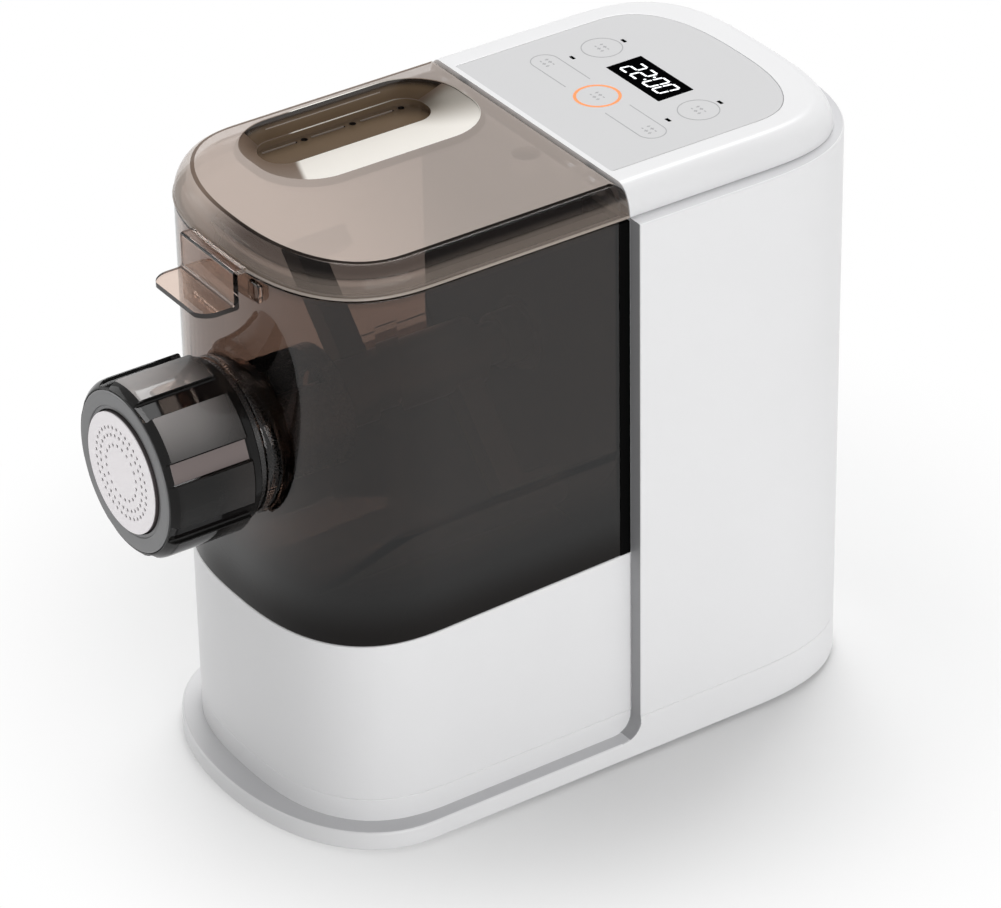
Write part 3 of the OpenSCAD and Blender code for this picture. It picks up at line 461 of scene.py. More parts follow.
# ---- Front pedestal ----
# A white ABS hood over the motor. Its top rises a little towards the tower and
# carries the mixing chamber; four screws hold it from below.
deck_back, deck_front, deck_edge = 100.4, 96.6, 0.7


def deck(y):
    """The height of the pedestal's top."""
    return deck_back + y * (deck_back - deck_front) / chamber_plan[3]


rings = [plan(chamber_plan, -1, h, 0.1, 0.6, -t) for t, h in low_edge(seam_z, seam_edge)]
rings += [plan(chamber_plan, -1, lambda y, h=h: deck(y) + h, 0.1, 0.6, -t)
          for t, h in top_edge(0, deck_edge)]
pedestal = loft("pedestal_shell", rings)
cut(pedestal, loft("hollow", [
    plan(chamber_plan, -1, z, -1, 1, -wall) for z in (seam_z - 3, lambda y: deck(y) - wall)]))
fuse(pedestal, posts(front_posts, seam_z + 0.2, 45))
coat(pedestal, [white_abs])
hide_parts("front_pedestal")
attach(pedestal, "base")

# ---- Rear housing ----
# The tower: a white ABS tube with a bulkhead at the front, a rim for the top cover,
# vents at the back and a socket near the floor.
crown_plan = (73, 62, 3.25, 124.5)
rim_z, top_z, axis_z = 259.4, 272.6, 174.3
latch_x, latch_half, latch_z = 50, 6.5, (228.5, 235.5)


def along(name, outline, y0, y1):
    """A flat outline in X and Z, drawn out from y0 to y1."""
    return loft(name, [[(x, y, z) for x, z in outline] for y in (y0, y1)])


rings = [plan(tower_plan, 1, h, 0, 0.6, -t) for t, h in low_edge(seam_z, seam_edge)]
rings += [plan(tower_plan, 1, h, 0, 0.6, -t) for t, h in top_edge(rim_z, 0.9)]
rings += [plan(shape, 1, z, wall, 1, -inset) for shape, z, inset in (
    (crown_plan, rim_z, 3.1), (crown_plan, rim_z - wall, 3.1),
    (tower_plan, rim_z - wall, wall), (tower_plan, seam_z, wall))]
tower = loft("tower_shell", rings, "joined")
holes = [along("vent", outline, 105, 140) for outline in grille(8, 1.5, 5, 50, 74, 1.4)]
holes += [along("socket", rounded_box(-13.8, 13.8, 24.2, 43.8, 0.4), 100, 140),
          along("shaft_hole", circle(0, axis_z, 11.2), -1, 8),
          along("duct", rounded_box(-62, 62, 15, 92, 2), -1, 4)]
holes += [along("latch_slot", rounded_box(x - latch_half, x + latch_half, *latch_z, 0.6), -1, 4)
          for x in (-latch_x, latch_x)]
cut(tower, gather("holes", holes))
fuse(tower, posts(back_posts, seam_z + 0.2, 45))


def tower_finish(x, y, z, normal):
    """The rim under the top cover, the edge that stands past the chamber, and the rest."""
    if normal.z > 0.7 and abs(z - rim_z) < 0.1:
        return grey_trim_and_painted_shade
    return grey_step_painted_shade if normal.y < -0.9 and y < 0.1 and 72 < abs(x) < 79.5 else white_abs


coat(tower, (white_abs, grey_step_painted_shade, grey_trim_and_painted_shade), tower_finish)
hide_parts("rear_housing")
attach(tower, "base")

# ---- Top cover ----
# A white ABS cap with a rounded shoulder, screwed on from inside. A shallow
# recess in its top takes the control panel.
shoulder_in, shoulder_up, cover_edge = 8.5, top_z - rim_z, 0.35
panel_plan, panel_under, ledge_under = (56.5, 32, 2.6, 105.8), top_z - 2.2, top_z - 4.2


def shoulder(steps, first=0):
    """(inset, height) up over the shoulder of the cover and the lid."""
    return [(shoulder_in * (1 - cos(a)), shoulder_up * sin(a)) for a in quarter(steps, first)]


rings = [plan(crown_plan, 1, h, 0, 0.5, -t) for t, h in low_edge(rim_z, cover_edge)[:-1]]
rings += [plan(crown_plan, 1, rim_z + max(h, cover_edge), 0, 0.5, -t) for t, h in shoulder(12)]
rings += [plan(panel_plan, 1, top_z - down, 2 + t, 1.5, t)
          for t, down in ((0.5, 0), (0.15, 0.15), (0, 0.5))]
rings += [plan(shape, 1, z, *inner) for shape, z, *inner in (
    (panel_plan, panel_under, 2, 1.5), (panel_plan, panel_under, 12, 1.5, -14),
    (panel_plan, ledge_under, 12, 1.5, -14), (crown_plan, ledge_under, 3, 1, -shoulder_in - 2.4),
    (crown_plan, rim_z + 3, 3, 1, -3), (crown_plan, rim_z, 3, 1, -2.8))]
cover = loft("cover_shell", rings, "joined")
coat(cover, [white_abs])
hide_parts("top_cover")
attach(cover, "base")

# ---- Control panel ----
# A flush plate of pale grey plastic bonded into the recess, with touch keys printed on
# its face, a black display window, a lit start key and four small indicator lenses.
display_y, start_at, side_key_x = 61.8, (0, 35.3), 34.4
face_z, panel_hole, ring_seat_z = top_z - 0.1, (268, 274), top_z - 1.4
rings = [plan(panel_plan, 1, h, 2.1 + t, 1.4, -0.1 - t)
         for t, h in [(0, panel_under)] + top_edge(face_z, 0.25, 3)]
panel = loft("panel_plate", rings)


def oblong(x, y, half_x, half_y, r=0.2):
    """The outline of the window, a lens or a printed stroke about its middle."""
    return rounded_box(x - half_x, x + half_x, y - half_y, y + half_y, r, 2)


lens_places = [(x, y) for y in (72.9, 46.6) for x in (-34.2, 34.2)]
cut(panel, up("window", oblong(0, display_y, 18.8, 9, 0.3), *panel_hole),
    up("ring_seat", circle(*start_at, 10.1, 96), ring_seat_z, panel_hole[1]),
    *[up("lens_seat", oblong(*place, 1.6, 0.8), *panel_hole) for place in lens_places])
fuse(panel, up("ring_core", circle(*start_at, 8.7, 96), top_z - 2, face_z))
# Acrylic faced film over ABS, matt: a clean, very even light grey
coat(panel, [surface("matt_grey_panel_film", "#CFCFD0", "#CBCBCC", 80, 0.5, 0.003, (0.42, 0.5),
                     IOR=1.49)])
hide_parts("control_panel")
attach(panel, "base")

display = up("display_glass", oblong(0, display_y, 18.75, 8.95, 0.25), panel_under, face_z)
# Smoked acrylic: deep black with a hard gloss
black_acrylic = surface("gloss_black_acrylic", "#030304", "#060607", 20, 0.4, 0.001, (0.12, 0.16),
                        IOR=1.3, Specular_IOR_Level=0.0)
coat(display, [black_acrylic])
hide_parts("display_window")
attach(display, "base")
lenses = gather("indicator_lens_set", [up("lens", oblong(*place, 1.55, 0.75), panel_under, face_z)
                                       for place in lens_places])
coat(lenses, [black_acrylic])
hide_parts("indicator_lenses")
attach(lenses, "base")


def band(name, outer, inner, z0, z1):
    """A flat loop between two outlines of the same count."""
    levels = [(outer, z0), (outer, z1), (inner, z1), (inner, z0)]
    return loft(name, [[(x, y, z) for x, y in outline] for outline, z in levels], "joined")


start_ring = band("start_key_light", *(circle(*start_at, r, 96) for r in (10.05, 8.75)),
                  ring_seat_z, face_z)
# Frosted orange light pipe: glows evenly along its length
coat(start_ring, [surface("frosted_orange_light_pipe", "#E07A34", "#E88A48", 6, 0.5, 0.004,
                          (0.4, 0.5), Emission_Color=linear("#E8853F"), Emission_Strength=0.35)])
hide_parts("start_key_ring")
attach(start_ring, "base")

ink_z, line, pill_y, pill_r = (face_z - 0.02, face_z + 0.05), 0.42, 35.4, 6.35
ink = []
for s in (-1, 1):
    key_at = (s * side_key_x, display_y)
    ink.append(band("key_circle", *(circle(*key_at, r, 72) for r in (8.95, 8.5)), *ink_z))
    turn = [radians(90 - 180 * k / 24) for k in range(25)]
    pill = []
    for r, back in ((pill_r, 1), (pill_r - line, -1)):
        bow = [(s * 38.0 + s * r * cos(a), pill_y + back * r * sin(a)) for a in turn]
        pill += [(s * 14.2, pill_y + back * r)] + bow + [(s * 14.2, pill_y - back * r)]
    ink.append(up("key_pill", pill, *ink_z))
# Plain strokes stand in each key, two rows of three
for x, y in ((-side_key_x, display_y), (side_key_x, display_y), (-36.5, pill_y), (36.5, pill_y),
             start_at):
    for row in (-1, 1):
        for k in (-1, 0, 1):
            at = (x + 2.5 * k, y + 1.5 * row)
            ink.append(up("key_stroke", oblong(*at, 0.95 if (k + row) % 2 else 0.6, 0.28), *ink_z))
            if k != row:
                ink.append(up("key_stroke", oblong(*at, 0.25, 0.9), ink_z[0], face_z + 0.04))
key_print = gather("key_print", ink)
# Screen-printed grey ink: matt, slightly uneven where the screen was thin
key_print.data.materials.append(
    surface("screen_printed_grey_ink", "#A2A2A4", "#B0B0B2", 3, 0.3, 0.002, (0.6, 0.7)))
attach(key_print, "base")

# Four seven-segment digits and a colon, leaning a little to the right
digit_segments = {"2": "abged", "0": "abcdef"}
segment_ends = {"a": (0, 1, 1, 1), "b": (1, 0.5, 1, 1), "c": (1, 0, 1, 0.5), "d": (0, 0, 1, 0),
                "e": (0, 0, 0, 0.5), "f": (0, 0.5, 0, 1), "g": (0, 0.5, 1, 0.5)}
digit_high, digit_wide, bar_half, bar_gap, lean = 9.6, 5.0, 0.5, 0.3, 0.16
bars = []
for middle, digit in ((-11.4, "2"), (-4.4, "2"), (4.4, "0"), (11.4, "0")):
    for name in digit_segments[digit]:
        x0, y0, x1, y1 = segment_ends[name]
        x0, x1 = (middle + (x - 0.5) * digit_wide for x in (x0, x1))
        y0, y1 = (display_y + (y - 0.5) * digit_high for y in (y0, y1))
        if y0 == y1:
            x0, x1, y0, y1 = x0 + bar_gap, x1 - bar_gap, y0 - bar_half, y1 + bar_half
        else:
            x0, x1, y0, y1 = x0 - bar_half, x1 + bar_half, y0 + bar_gap, y1 - bar_gap
        bars.append(up("segment", [(x + lean * (y - display_y), y) for x, y in
                                   rounded_box(x0, x1, y0, y1, 0.35, 3)], *ink_z))
for y in (-2.2, 2.2):
    bars.append(up("colon", circle(lean * y, display_y + y, 0.62, 16), *ink_z))
digits = gather("display_digits", bars)
# Light-emitting segments behind the window: an even, cool white
digits.data.materials.append(
    surface("lit_white_segments", "#F2F4F6", "#E8EAEC", 3, 0.3, 0.001, (0.4, 0.5),
            Emission_Color=linear("#F4F6F8"), Emission_Strength=0.7))
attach(digits, "base")

# ---- Mixing chamber ----
# A tub of smoky clear plastic, injection moulded: an outer wall that follows the
# pedestal, a round trough inside for the paddle, and a boss at the front for the barrel.
back_y, tub_top, tub_wall = -5.3, rim_z - 0.7, 2.8
trough_z, trough_r, trough_wall, trough_up = 180, 75, 2.5, 151


def under(y):
    """The height of the tub's underside."""
    return deck(y) + 0.2


def tub_ring(z, grow=0.0, start=-back_y):
    """One level ring of the tub."""
    return plan(chamber_plan, -1, z, start, 0.4, grow)


rings = [tub_ring(lambda y, h=h: under(y) + h, -t) for t, h in low_edge(0, 0.6)]
rings += [tub_ring(h, -t) for t, h in top_edge(tub_top, 0.5)]
tub = loft("chamber_shell", rings)
cut(tub, loft("inside", [tub_ring(h, -tub_wall, -1) for h in (80, 265)]))


def trough_line(r):
    """A round gutter in X and Z, cut off level at trough_up."""
    a = asin((trough_z - trough_up) / r)
    return [(r * cos(t), trough_z - r * sin(t)) for t in
            (a + (pi - 2 * a) * k / 60 for k in range(61))]


trough = along("trough", trough_line(trough_r + trough_wall) + trough_line(trough_r)[::-1],
               -148, back_y)
combine(trough, "INTERSECT", loft("limit", [tub_ring(z, -tub_wall / 2) for z in (under, 170)]))
fuse(tub, trough)


def turned(name, profile, steps=96):
    """A ring turned about the screw's axis: (y, radius) pairs all round its section."""
    angles = [2 * pi * k / steps for k in range(steps)]
    return loft(name, [[(r * sin(a), y, axis_z + r * cos(a)) for a in angles]
                       for y, r in profile], "joined")


cut(tub, along("barrel_hole", circle(0, axis_z, 26.6, 96), -170, -125))
fuse(tub, turned("boss", [(-150.1, 26), (-150.1, 33.2), (-149.9, 33.8), (-149.4, 34),
                          (-142, 34), (-142, 29), (-134.5, 29), (-134.5, 26)]))
# A small catch on the front wall, to the right of the lid's tab
fuse(tub, loft("latch_lug", [
    [(x, y, z) for x, z in rounded_box(23 + t, 31 - t, 250 + t, 258 - t, 1.2 - t)]
    for y, t in ((-147, 0), (-148.8, 0), (-149.1, 0.3))]))
# Smoked see-through copolyester: brown-grey, polished, darker wherever the wall runs edge on
smoky_tub = surface("smoked_clear_copolyester", "#9C8A80", "#95847A", 70, 30, 0.0, (0.0, 0.004),
                    IOR=1.42, Transmission_Weight=1.0, Specular_IOR_Level=0.06)
# Painted shade low down: the tint is deeper there and less light comes through, standing for
# the trough, the outer wall and their shadows that lie one behind another
blend(smoky_tub, "#15110F", (0, 0, -1), -148, -116)
tree, shader, _ = opened(smoky_tub)
see_through = run(smoky_tub, (0, 0, -1), -122, -100, 1.0, 0.3)
tree.links.new(see_through, shader.inputs["Transmission Weight"])
coat(tub, [smoky_tub])
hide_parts("mixing_chamber")
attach(tub, "chamber")

# ---- Chamber back plate ----
# A black plate bonded to the open end of the tub. It closes the tub, carries the two
# latch lugs that drop into the tower and the ears of the lid's hinge.
dress(surface("moulded_black_ABS", "#060606", "#0A0A0A", 30, 0.8, 0.005, (0.4, 0.5), IOR=1.53,
              Specular_IOR_Level=0.02),
      "chamber_back")
# The seal of black silicone in its middle keeps the dough off the shaft
dress(surface("black_silicone", "#1B1918", "#22201F", 6, 0.5, 0.01, (0.5, 0.6),
              Specular_IOR_Level=0.2),
      "shaft_seal")

# ---- Screw barrel ----
# A black tube of glass-filled nylon: its flange seats on the front of the tub, a
# feed window on top lets dough fall onto the screw, and lugs at the front hold the nut.
dress(surface("moulded_black_nylon", "#121110", "#191716", 12, 0.7, 0.008, (0.22, 0.32), IOR=1.53),
      "screw_barrel")
dress(surface("grey_silicone", "#A9A9AA", "#9C9C9E", 8, 0.5, 0.01, (0.45, 0.55)),
      "barrel_gasket", "die_gasket")

# ---- Die ----
# A white acetal disc that the nut holds against the barrel. It has three rings of
# round holes, and each hole makes one noodle.
# Moulded white acetal, with a painted glow in its emission
die_acetal_painted_glow = surface("acetal_with_painted_glow", "#F8F4F6", "#F1EDEF", 10, 0.7, 0.005, (0.3, 0.4),
                       IOR=1.48, Emission_Color=linear("#F4F0F2"), Emission_Strength=0.16)
# Painted light: the emission is a painted glow for light inside the acetal. In the holes and
# behind the face there is no glow, and the colour is darkened there as painted shade
for socket, code in (("Base Color", "#4A4445"), ("Emission Color", "#000000")):
    blend(die_acetal_painted_glow, code, (0, 1, 0), -164.9, -164.2, socket)
dress(die_acetal_painted_glow, "die_disc")

# ---- Lock nut ----
# A bayonet nut of very dark smoky plastic with eight grip pads parted by flat grooves.
# A grey ring is set into its front face round the die.
nut_y0, nut_y1, nut_r, pads = -196.5, -153.5, 38.0, 8
groove_half, groove_floor, pad_soft = 4.6, 35.5, 0.5


def nut_section(y, r, floor=None):
    """One section of the nut: pads at radius r, parted by flat grooves at radius floor. With
    no floor, it is a circle that has as many points."""
    if floor is None:
        full = [(x, z - axis_z) for x, _, z in nut_section(y, nut_r, groove_floor)]
        return [(x * r / hypot(x, z), y, axis_z + z * r / hypot(x, z)) for x, z in full]
    ring, turn = [], 2 * pi / pads
    for pad in range(pads):
        middle = radians(360 / pads * pad + 22.5)
        half = asin((groove_half + pad_soft) / r)
        for k in range(9):
            a = middle + half + (turn - 2 * half) * k / 8
            ring.append((r * cos(a), r * sin(a)))
        after, walls = middle + turn, []
        for side in (-1, 1):
            across = side * groove_half
            walls += [(r * cos(half) - pad_soft * 0.6, across + side * pad_soft * 0.25),
                      (floor + pad_soft, across), (floor, across - side * pad_soft)][::-side]
        ring += [(d * cos(after) - e * sin(after), d * sin(after) + e * cos(after))
                 for d, e in walls]
    return [(x, y, axis_z + z) for x, z in ring]


front = [(2.2, 34.5), (0.3, 34.5), (0, 34.8), (0, 35.2), (0.3, 35.7), (1.6, 36.9, 35.3),
         (3.2, 37.7, 35.3), (5, nut_r, groove_floor)]
back = [(-5.3, nut_r, groove_floor), (-4.6, 37.6, 35.45), (-4.3, 35.4), (-0.6, 35.4), (0, 34.8),
        (0, 29.5)]
inside = [(30, 29.5), (30, 26.5), (26, 26.5), (26, 29.4), (3.2, 29.4), (3.2, 26.6), (2.2, 26.6)]
rings = [nut_section(y0 + y, *radii)
         for y0, part in ((nut_y0, front), (nut_y1, back), (nut_y0, inside)) for y, *radii in part]
nut = loft("nut_body", rings, "joined")
# Dark smoky copolyester, mirror polished: nearly black through its full depth
nut_body_painted_light = surface("dark_smoked_copolyester", "#0D0B0A", "#0A0908", 30, 20, 0.01, (0.04, 0.07),
                    IOR=1.55, Alpha=0.86, Specular_IOR_Level=0.2, Coat_Weight=0.12,
                    Coat_Roughness=0.02)
# Painted highlight: the pads are painted pale where they face up, and towards the back of the
# nut they turn an even dark brown
blend(nut_body_painted_light, "#C4BFBD", (0, 0, 1), 182, 228)
blend(nut_body_painted_light, "#2A2624", (0, 1, 0), -146, -120)
# Groove floors: a paler copy of the plastic as painted light, with painted shade at top and bottom
groove_painted_light = surface("dark_smoked_copolyester_painted_light_groove", "#7E7472", "#766C6A", 30, 20, 0.01,
                       (0.05, 0.08), IOR=1.55, Specular_IOR_Level=0.1)
blend(groove_painted_light, "#0C0A0A", (0, 0, 1), 191, 201)
blend(groove_painted_light, "#0C0A0A", (0, 0, -1), -182, -172)
# Rims and groove walls: a darker, more opaque copy of the plastic, painted shade
rim_painted_shade = surface("dark_smoked_copolyester_painted_shade_rim", "#0B0908", "#080706", 30, 20, 0.01,
                    (0.05, 0.08), IOR=1.55, Alpha=0.96, Specular_IOR_Level=0.18)


def nut_finish(x, y, z, normal):
    """The two rims and the walls of the grooves, the groove floors, and the pads."""
    away = hypot(x, z - axis_z)
    outward = (normal.x * x + normal.z * (z - axis_z)) / away
    if away > 34.6 and (y < nut_y0 + 3.4 or y > nut_y1 - 5 or abs(outward) < 0.75):
        return rim_painted_shade
    return groove_painted_light if 34.6 < away < 36.2 else nut_body_painted_light


coat(nut, (nut_body_painted_light, groove_painted_light, rim_painted_shade), nut_finish, 24)
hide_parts("lock_nut")
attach(nut, "nut")

ring = turned("nut_face_ring", [(nut_y0 + y, r) for y, r in (
    (2.1, 34.35), (-0.2, 34.35), (-0.5, 34.0), (-0.6, 33.6), (-0.6, 28.6), (-0.5, 28.2),
    (-0.1, 27.9), (-0.1, 26.6), (2.1, 26.6))])
# Satin grey plastic with a faint metallic glitter
coat(ring, [surface("satin_grey_plastic", "#767677", "#808081", 20, 0.5, 0.004, (0.32, 0.42),
                    Metallic=0.25)])
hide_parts("nut_ring")
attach(ring, "nut")

# ---- Extrusion screw and paddle ----
# One driven rod: a deep flighted screw in the barrel and a two-armed paddle in the
# tub, moulded in dark grey acetal and pressed onto each other.
dress(surface("moulded_dark_acetal", "#262322", "#2F2B2A", 14, 0.6, 0.006, (0.25, 0.35), IOR=1.48),
      "extrusion_screw", "stirring_paddle")

# ---- Lid ----
# A smoky clear cover with a flat top and a rounded shoulder. It has a pouring recess
# with three small holes, a finger tab in front, and hinges at the back.
lid_top_plan = (73 - shoulder_in, 38.7, 2.3, 148.5 - shoulder_in)
hinge_y, hinge_z, hinge_r, ear_x = -4.2, top_z - 3.8, 3.8, 46


def lid_plan(inset):
    """The lid's outline so far in over its shoulder."""
    return [a + (b - a) * inset / shoulder_in for a, b in zip(chamber_plan, lid_top_plan)]


bead = ((0.3, 0.0), (-0.2, 0.15), (-0.4, 0.55), (-0.3, 0.95), (0.1, 1.25))
rings = [plan(chamber_plan, -1, rim_z + h, 0.4, 0.3, -t) for t, h in bead]
rings += [plan(lid_plan(t), -1, rim_z + h, 0.4, 0.3) for t, h in shoulder(24, 3)]
lid = loft("lid_shell", rings)
cut(lid, loft("lid_hollow", [plan(lid_plan(t), -1, rim_z + h - wall, 3, 0.3, -wall)
                             for t, h in shoulder(12)]))
pocket_floor, trench_top = top_z - 13.1, top_z - 10.3


def pocket(x1, y0, y1, r, grow, z):
    """A level ring of the pouring recess, whose left wall is upright."""
    return [(x, y, z) for x, y in rounded_box(-62.5 - grow, x1 + grow, y0 - grow, y1 + grow,
                                              r + grow, 16)]


mouth, trench = (-5.2, -110.3, -8.2, 24), (-40.5, -96, -15.8, 10)


def bowl(grow, drop, rim, top):
    """The trench and the flared sides above it, up to a mouth that is wider by rim."""
    rings = [pocket(*trench, grow, z - drop) for z in (pocket_floor, trench_top - 0.7, trench_top)]
    foot = pocket(*trench, grow + 0.35, trench_top - drop + 0.3)
    brim = pocket(*mouth, grow, top_z - 0.5 - drop)
    rings += [[tuple(a + (b - a) * f for a, b in zip(p, q)) for p, q in zip(foot, brim)]
              for f in (0, 0.25, 0.5, 0.75, 1)]
    rings.append(pocket(*mouth, grow, top_z - 0.2 - drop))
    return rings + [pocket(*mouth, grow + rim, z) for z in (top_z - drop, top)]


fuse(lid, loft("recess_wall", bowl(2.2, 2.2, 0, top_z - 1)))
cut(lid, loft("recess_space", bowl(0, 0, 0.3, top_z + 1)))
# A thin strip along the far wall of the recess, to carry a painted highlight line
fuse(lid, up("painted_highlight_strip", rounded_box(-63, -62.25, -87, -31, 0.2, 3), 268, 268.3))
lip = loft("inner_lip", [plan(chamber_plan, -1, rim_z + h, 8.3, 0.4, -3.8) for h in (-5, 6.5)])
cut(lip, loft("lip_inside", [plan(chamber_plan, -1, rim_z + h, 5, 0.4, -5.8) for h in (-6, 8)]))
fuse(lid, lip)


def across(name, outline, x0, x1):
    """A flat outline in Y and Z, drawn out from x0 to x1."""
    return loft(name, [[(x, y, z) for y, z in outline] for x in (x0, x1)])


def block(name, y0, y1, z0, z1, *x):
    """A square-edged block to cut with."""
    return across(name, [(y0, z0), (y1, z0), (y1, z1), (y0, z1)], *x)


magnet_at, drain_x = (20, -14), -59.5
fuse(lid, up("magnet_boss", circle(*magnet_at, 6), top_z - 9, top_z - 2))
back_round = block("back_round", hinge_y, 5, hinge_z, top_z + 1, -90, 90)
cut(back_round, across("knuckle_line", circle(hinge_y, hinge_z, hinge_r, 64), -92, 92))
cut(lid, back_round)
for x0, x1 in ((-60, -52), (-40, 40), (52, 60)):
    fuse(lid, across("knuckle", circle(hinge_y, hinge_z, hinge_r - 0.05, 64), x0, x1))
for ear in (-ear_x, ear_x):
    gap = (ear - 3.5, ear + 3.5)
    cut(lid, block("ear_gap", hinge_y - 6, 1, rim_z - 6, hinge_z + 0.2, *gap),
        across("ear_turn", circle(hinge_y, hinge_z, 3, 32), *gap),
        block("ear_top", hinge_y + 1.9, 1, rim_z, top_z + 1, *gap),
        across("pin_bore", circle(hinge_y, hinge_z, 1.25, 24), ear - 12, ear + 12))
drain_z = (pocket_floor - 4, pocket_floor + 1)
drains = [up("drain_hole", circle(drain_x, y, 1.5, 24), *drain_z) for y in (-70.5, -46.8, -22.9)]
drains += [up("drain_slot", rounded_box(-60.2, -58.8, y0, y1, 0.6, 3), *drain_z)
           for y0, y1 in ((-91, -74), (-67, -50.5), (-43, -26.5))]
drains += [up("magnet_seat", circle(*magnet_at, 4), top_z - 10, top_z - 4.5)]
cut(lid, gather("drains", drains))
tab_y, tab_tip, tab_z, tab_t, tab_half, tab_root = -153.9, -170.0, 243.5, 2.2, 20, -146.5
bend = quarter(6)
side = [(tab_root, rim_z + 1.8)]
side += [(tab_y + 1.4 - 1.4 * sin(a), rim_z + 0.4 + 1.4 * cos(a)) for a in bend]
side += [(tab_y - 1.5 + 1.5 * cos(a), tab_z + tab_t + 1.5 - 1.5 * sin(a)) for a in bend]
side += [(tab_tip + 0.8, tab_z + tab_t), (tab_tip, tab_z + tab_t - 0.8), (tab_tip, tab_z + 0.8),
         (tab_tip + 0.8, tab_z)]
side += [(tab_y + tab_t - 1.2 + 1.2 * sin(a), tab_z + 1.2 - 1.2 * cos(a)) for a in bend]
side += [(tab_y + tab_t, rim_z - 0.4), (tab_root, rim_z - 0.4)]
tab = across("lid_tab", side, -tab_half, tab_half)
combine(tab, "INTERSECT", up("tongue", rounded_box(-tab_half, tab_half, tab_tip, -120, 9, 12),
                             240, 265))
fuse(lid, tab)
# The same smoked copolyester as the tub. The flat top is frosted a little from below, and is
# painted paler towards the front: painted light. The shoulder has a painted dark reflection along
# the right of the top, and is painted paler round the front to the left: painted light
smoky_top = surface("smoked_copolyester_top", "#B9ACA3", "#B3A69D", 70, 30, 0.0, (0.10, 0.16),
                    IOR=1.5, Alpha=0.62)
blend(smoky_top, "#D2C1B6", (-0.2, -0.98, 0), 5, 100)
smoky_side = surface("smoked_copolyester_shoulder", "#837870", "#7D7269", 40, 30, 0.0,
                     (0.06, 0.10), IOR=1.5, Alpha=0.5, Specular_IOR_Level=0.15)
blend(smoky_side, "#140F0D", (0, 0, 1), 266.6, 268.2)
blend(smoky_side, "#DCCDC2", (-1, 0, 0), -15, 28)
smoky_tab = surface("smoked_copolyester_tab", "#E4CFC2", "#DCC7BA", 40, 30, 0.0, (0.0, 0.004),
                    IOR=1.42, Transmission_Weight=1.0)
smoky_lip = surface("smoked_copolyester_inner_lip", "#5E544D", "#574E47", 40, 30, 0.0, (0.1, 0.2),
                    IOR=1.5, Alpha=0.15, Specular_IOR_Level=0.0)
# Along the edge of the flat top a dark band is painted for the wall seen edge on through its
# whole thickness: painted shade, paler towards the left
crease = surface("smoked_copolyester_crease", "#0C0908", "#0A0807", 40, 30, 0.0, (0.1, 0.2),
                 IOR=1.5, Alpha=0.9, Specular_IOR_Level=0.0)
blend(crease, "#7A6A5F", (-1, 0, 0), -10, 30)
# Bead, far-wall strip and thin drain walls: a paler copy of the plastic, a painted highlight
bead_painted_highlight = surface("smoked_copolyester_painted_highlight", "#B8ACA2", "#AEA298", 30, 10, 0.01, (0.10, 0.15),
                     IOR=1.55, Alpha=0.8)
# Recess walls and floor: a brown copy of the plastic, partly painted shade, darker to the mouth
recess = surface("smoked_copolyester_recess", "#75634F", "#6B5A48", 30, 20, 0.02, (0.12, 0.2),
                 IOR=1.55, Alpha=0.9, Specular_IOR_Level=0.25)
blend(recess, "#1C1511", (0, 0, 1), 267.5, 271.5)
# Painted shade: drain walls and the tab's edges are painted dark where the wall is seen edge on
edge_on = surface("smoked_copolyester_edge_on", "#1C1613", "#181210", 30, 20, 0.02, (0.3, 0.4),
                  IOR=1.5)
# The upward faces of the recess slope are a pale copy of the plastic, painted light; it greys
# towards its far end and turns brown at its two corners, painted shade
recess_slope_painted_light = surface("pale_recess_slope_painted_light", "#FFFBF3", "#FAF5ED", 40, 0.6, 0.004, (0.35, 0.45),
                  IOR=1.5, Alpha=0.95)
blend(recess_slope_painted_light, "#938B80", (-0.5, 0.87, 0), 17.1, 44.1)
blend(recess_slope_painted_light, "#6E5C4E", (-0.438, -0.899, 0), 63.2, 66.2)
blend(recess_slope_painted_light, "#6E5C4E", (-0.622, 0.783, 0), 45.7, 48.7)


def within_lip(x, y):
    """True inside the outline of the tub less 3.6 mm, where only the lip has upright walls."""
    half, depth, square, reach = chamber_plan
    ahead = max(0, depth - reach - y) / (depth - 3.6)
    return (abs(x) / (half - 3.6)) ** square + ahead ** square < 1


def lid_finish(x, y, z, normal):
    """The recess first, then the flat top, the hinge, the tab, the lip, and the shoulder."""
    if -63 < x < -4.6 and -111 < y < -7.6 and pocket_floor - 4 < z < top_z - 0.05:
        # The strip along the far wall takes the painted highlight
        if abs(x + 61.9) < 0.7 and 267.7 < z < 268.3:
            return bead_painted_highlight
        if z > pocket_floor - 0.1:
            return recess_slope_painted_light if normal.z > 0.2 and z > trench_top - 0.1 else recess
        # Drain walls: a painted highlight on the thin sideways walls, painted shade on the rest
        if abs(x - drain_x) < 1.6 and abs(normal.z) < 0.5:
            return bead_painted_highlight if abs(x - drain_x) < 0.75 and abs(normal.x) > 0.9 else edge_on
    if z > top_z - 0.005 or z > top_z - 2.7 and normal.z < -0.9:
        return smoky_top
    knuckle = y > hinge_y - 4 and z > hinge_z - 4
    magnet = abs(x - magnet_at[0]) < 6.5 and y > magnet_at[1] - 7 and z > top_z - 10
    if abs(x) < 61 and (knuckle or magnet):
        return smoky_top
    if -66 < x < -2 and -114 < y < -4.5 and pocket_floor - 4 < z and normal.z < 0.2:
        return smoky_top
    if z > top_z - 0.35 and y < -1:
        return crease
    if y < tab_root - 1 and z < rim_z + 2 and abs(x) < tab_half + 0.1:
        edge = z < tab_z + tab_t - 0.1 and (normal.y < -0.6 or normal.x > 0.6)
        return edge_on if edge else smoky_tab
    if z < rim_z - 0.3 or z < rim_z + 6.6 and abs(normal.z) < 0.25 and within_lip(x, y):
        return smoky_lip
    return smoky_side if z > rim_z + 1.3 else bead_painted_highlight


